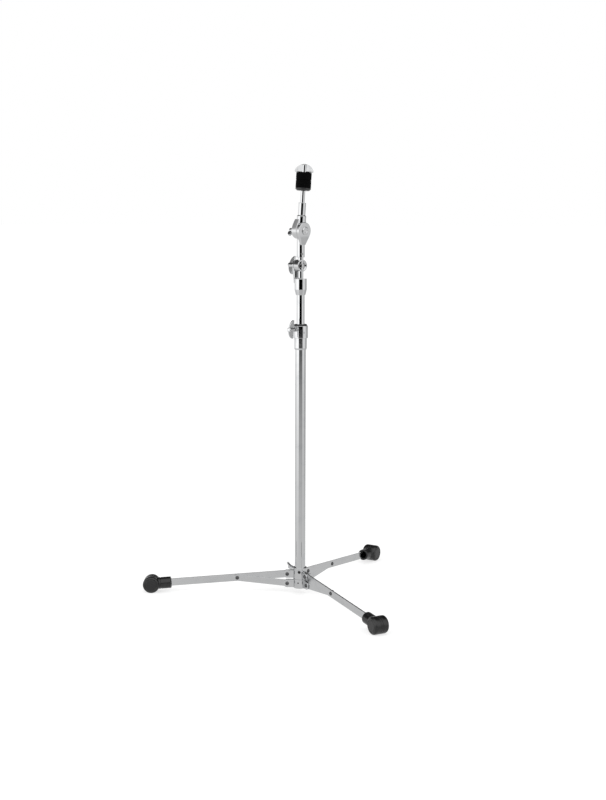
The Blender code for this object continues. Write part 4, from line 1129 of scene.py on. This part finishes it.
def build_head(bolt_place):
    """Upper half of the tilter, with the post, cup, felts and nut."""
    lean = Matrix.Rotation(math.radians(-TILTER_LEAN), 4, direction(TILTER_AZIMUTH))
    head = COLUMN @ shifted(TILTER_PIVOT) @ lean
    upright = COLUMN @ shifted(TILTER_PIVOT)
    bolt_place = head @ upright.inverted() @ bolt_place
    bore_r = POST_R + CLEAR
    bore_low = STEM_TOP - POST_DEPTH - CLEAR
    profile = [
        (0, bore_low),
        (bore_r, bore_low),
        (bore_r, STEM_TOP, 0.5),
        (STEM_R, STEM_TOP, 0.9),
        (STEM_R, STEM_STEP + 2.0, 0.8),
        (STEM_BASE_R, STEM_STEP, 1.5),
        (STEM_BASE_R, STEM_LOW),
        (0, STEM_LOW),
    ]
    stem = put(turned("fine_tilter_upper", profile), head)
    drill(stem, TILTER_DISC_R + 1.0, TILTER_SPLIT, 2 * TILTER_FRONT, bolt_place, 128)
    from_back = bolt_place @ Matrix.Rotation(math.radians(180), 4, "X")
    outline = teardrop(TILTER_DISC_R, STEM_BASE_R, BARREL_NECK_Y)
    barrel = put(slab("barrel", outline, -TILTER_SPLIT, -TILTER_BACK), from_back)
    for y, angle in BARREL_SLOPES:
        cut_slope(barrel, from_back, -TILTER_BACK, TILTER_DISC_R, y, angle)
    ease_edges(barrel, TILTER_EASE, 50)
    combine(stem, barrel, "UNION")
    drill(stem, THREAD_HOLE_R, -20, 10, bolt_place)
    done(stem, "tilter_head", "cast")

    felt_low = SEAT_Z + SEAT_RISE + CLEAR
    felt_top = felt_low + 2 * FELT_RISE + CLEAR
    nut_low = felt_top + CLEAR
    profile = [
        (0, nut_low + POST_SPARE),
        (THREAD_R, nut_low + POST_SPARE, 0.5),
        (THREAD_R, SEAT_Z - CLEAR, 0.1),
        (POST_R, SEAT_Z - CLEAR, 0.6),
        (POST_R, bore_low + CLEAR, 0.3),
        (0, bore_low + CLEAR),
    ]
    done(put(turned("fine_cymbal_post", profile), head), "tilter_head", "tube")
    profile = [
        (SEAT_R, SEAT_Z + SEAT_RISE, 0.6),
        (SEAT_R, SEAT_Z + 4.0, 2.5),
        (SEAT_R - 4.0, SEAT_Z, 3.0),
        (THREAD_HOLE_R, SEAT_Z, 0.3),
        (THREAD_HOLE_R, SEAT_Z + SEAT_RISE, 0.3),
    ]
    cup = put(turned("fine_seat_cup", profile, 0.3, closed=True), head)
    done(cup, "tilter_head", "cup")
    felt("lower_felt", felt_low, "bottom_felt", head)
    felt("upper_felt", felt_low + FELT_RISE + CLEAR, "top_felt", head)
    nut_place = head @ shifted(nut_low + TOP_WING_FOOT)
    wing_nut("fine_top_wing_nut", TOP_WING_FOOT, TOP_WING_BORE, "top_nut", nut_place)


def felt(name, low, body, head):
    """A thick felt washer: soft edges, a slightly uneven pressed wall."""
    core = FELT_R - FELT_EDGE
    high = low + FELT_RISE - FELT_EDGE
    profile = [(FELT_BORE_R, low), (FELT_BORE_R, low + FELT_RISE)]
    profile += arc(core, high, FELT_EDGE, 90, 0, 6)
    profile += [(FELT_R, high - (FELT_RISE - 2 * FELT_EDGE) * n / 10) for n in range(1, 10)]
    profile += arc(core, low + FELT_EDGE, FELT_EDGE, 0, -90, 6)
    piece = put(turned(f"fine_{name}", profile, 0.4, closed=True), head)
    uneven = bpy.data.textures.new(f"{name}_wall", "CLOUDS")
    uneven.noise_scale = FELT_CLUMP
    uneven.noise_depth = 4
    group = piece.vertex_groups.new(name="wall")
    wall = [vertex.index for vertex in piece.data.vertices if vertex.co.xy.length > core]
    group.add(wall, 1.0, "REPLACE")
    settings = {"strength": FELT_RELIEF, "mid_level": 0.7, "vertex_group": "wall"}
    use(piece, "DISPLACE", texture=uneven, **settings)
    done(piece, body, "felt", 60)


build_tubes()
build_lower_hub()
build_upper_hub()
build_legs()
build_height_clamp()
build_boom_clamp()
build_tilter()
bpy.data.objects.remove(LEAF)

# Nylon pieces inside the others, which stay as the frame has them
HIDDEN = ("base_clamp_pad", "height_clamp_pad", "glide_bush", "cymbal_sleeve")
for node_name in HIDDEN:
    for material_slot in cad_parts[node_name].material_slots:
        material_slot.material = FINISHES["nylon"][0]


# Floor, light and camera

# In metres and degrees
COLUMN_PLACE = Vector((COLUMN_X * 0.001, 0, 0))
CAMERA_PLACE = (0.0062, -3.344, 0.982)
CAMERA_LENS = 84.56
CAMERA_SENSOR = 36.0
CAMERA_TURN = 1.35
CAMERA_DOWN = 8.66
CAMERA_ROLL = 0.13
VIEW_AZIMUTH = CAMERA_TURN - 90  # the side that the camera stands on, seen from the column

# Brightness that the metal sees
PAPER = 0.75  # the pale floor close by
WINDOW = 1.6  # the bright side of the room
CEILING = 1.25  # over the camera
CEILING_FALL = 1.17  # how much less behind the stand
CEILING_EDGE = (0.12, 0.26)  # sines of the heights where walls turn into ceiling
CEILING_MIDDLE = (-0.25, 0.35)  # where its front turns into its back
EVEN_LIGHT = 0.72  # on all that doesn't mirror
FLOOR_SIZE = 60.0
FLOOR_COLOUR = (0.5, 0.5, 0.5, 1)
FLOOR_GLOW = 0.67  # what the floor adds to its own light for the camera
FLOOR_DIM = (0.4, 6.2)  # where the floor starts and stops growing dimmer
FLOOR_ENDS = (0.5, 2.25)  # square roots of where it starts and stops turning into the room
DARK_SIDE = (0.05, 0.5)  # brightness of the room towards which it doesn't turn, and does
WHITE = (1, 1, 1, 1)

# Room's brightness by azimuth, in turns from the side across from the camera
STOPS = (
    (0.0, 0.62), (0.1, 0.66), (0.2, 0.7), (0.3, 1.0), (0.4, 1.0), (0.425, 0.0), (0.565, 0.0),
    (0.6, 0.22), (0.625, 0.62), (0.71, 0.64), (0.79, 0.36), (0.93, 0.38), (1.0, 0.62),
)
LIGHTS = {
    "key_light": ((-2.4, -2.2, 3.0), 1.8, 34),
    "fill_light": ((2.6, -1.6, 2.2), 1.6, 14),
}
LIGHT_AIM = COLUMN_PLACE + Vector((0, 0, 0.4))


def room(surface, azimuth_turn):
    """The room's brightness by azimuth: a bright side, a dark one round the camera, a pale one."""
    ramp = surface.node("ShaderNodeValToRGB", None, {0: azimuth_turn})
    stripes = ramp.color_ramp
    stripes.interpolation = "EASE"
    for position, _ in STOPS[1:-1]:
        stripes.elements.new(position)
    for element, (_, level) in zip(stripes.elements, STOPS):
        element.color = (level, level, level, 1)
    return surface.value("ShaderNodeSeparateColor", None, {0: ramp.outputs[0]}) * WINDOW


def azimuth_share(surface, x, y):
    """Azimuth as a share of a turn, with the camera's side at a half."""
    angle = surface.sum("ARCTAN2", y, x) / math.tau
    turn = angle + (0.5 - VIEW_AZIMUTH / 360)
    return surface.sum("FRACT", turn)


class Room(Surface):
    """The nodes of the floor's material and of the world."""

    def __init__(self, owner):
        super().__init__(owner)
        self.tree.nodes.clear()
        self.ray = self.node("ShaderNodeLightPath").outputs

    def seen_by(self, kind):
        """1 for rays of this kind and 0 for the others."""
        return Value(self, self.ray[f"Is {kind} Ray"])


def light_world():
    """White to the camera, even light on the object, and the studio's sides in the metal."""
    world = bpy.data.worlds.new("studio")
    bpy.context.scene.world = world
    sky = Room(world)
    x, y, z = sky.parts(sky.node("ShaderNodeTexCoord").outputs["Generated"])
    sides = room(sky, azimuth_share(sky, x, y))
    up = sky.between(z, *CEILING_EDGE)
    ceiling = CEILING - sky.between(y, *CEILING_MIDDLE) * CEILING_FALL
    seen = sides * (1 - up) + up * ceiling
    camera = sky.seen_by("Camera")
    glossy = sky.seen_by("Glossy")
    level = camera + (1 - camera) * (glossy * seen + (1 - glossy) * EVEN_LIGHT)
    white = sky.node("ShaderNodeBackground", None, {"Color": WHITE, "Strength": level})
    output = sky.node("ShaderNodeOutputWorld")
    sky.feed(output.inputs["Surface"], white.outputs[0])


def lay_floor():
    """A pale sweep, lit near the stand and dim further off on the camera's side."""
    bpy.ops.object.select_all(action="DESELECT")
    bpy.ops.mesh.primitive_plane_add(size=FLOOR_SIZE)
    floor = bpy.context.object
    floor.name = "studio_floor"
    material = bpy.data.materials.new("studio_floor")
    floor.data.materials.append(material)
    paper = Room(material)
    x, y, _ = paper.parts(paper.node("ShaderNodeNewGeometry").outputs["Position"])
    x = x - COLUMN_PLACE.x
    far = paper.sum("SQRT", x * x + y * y)
    sides = room(paper, azimuth_share(paper, x, y))
    near = PAPER * (1 - paper.rising(far, *FLOOR_DIM))
    glow = paper.rising(paper.sum("SQRT", far), *FLOOR_ENDS) * paper.between(sides, *DARK_SIDE)
    seen = near * (1 - glow) + sides * glow
    camera = paper.seen_by("Camera")
    glossy = paper.seen_by("Glossy")
    diffuse = paper.node("ShaderNodeBsdfDiffuse", None, {"Color": FLOOR_COLOUR})
    pale = paper.node("ShaderNodeEmission", None, {"Color": WHITE, "Strength": camera * FLOOR_GLOW})
    shown = paper.node("ShaderNodeAddShader", None, {0: diffuse.outputs[0], 1: pale.outputs[0]})
    mirrored = paper.node("ShaderNodeEmission", None, {"Color": WHITE, "Strength": seen})
    shaders = {0: glossy, 1: shown.outputs[0], 2: mirrored.outputs[0]}
    mix = paper.node("ShaderNodeMixShader", None, shaders)
    output = paper.node("ShaderNodeOutputMaterial")
    paper.feed(output.inputs["Surface"], mix.outputs[0])


def hang_light(name, place, size, watts):
    """A soft square light that faces the stand and that the metal doesn't mirror."""
    data = bpy.data.lights.new(name, "AREA")
    data.size = size
    data.energy = watts
    light = bpy.data.objects.new(name, data)
    bpy.context.scene.collection.objects.link(light)
    light.location = place
    aim = LIGHT_AIM - Vector(place)
    light.rotation_euler = aim.to_track_quat("-Z", "Y").to_euler()
    light.visible_glossy = False


def set_camera():
    """The camera, turned about the column, looking slightly down."""
    data = bpy.data.cameras.new("camera")
    data.lens = CAMERA_LENS
    data.sensor_width = CAMERA_SENSOR
    data.sensor_fit = "HORIZONTAL"
    camera = bpy.data.objects.new("camera", data)
    bpy.context.scene.collection.objects.link(camera)
    turn = Matrix.Rotation(math.radians(CAMERA_TURN), 4, "Z")
    pitch = Matrix.Rotation(math.radians(90 - CAMERA_DOWN), 4, "X")
    roll = Matrix.Rotation(math.radians(CAMERA_ROLL), 4, "Z")
    base = Matrix.Translation(COLUMN_PLACE) @ turn @ Matrix.Translation(CAMERA_PLACE)
    camera.matrix_world = base @ pitch @ roll
    bpy.context.scene.camera = camera


light_world()
lay_floor()
for light_name, light_values in LIGHTS.items():
    hang_light(light_name, *light_values)
set_camera()
bpy.context.scene.view_settings.view_transform = "Standard"
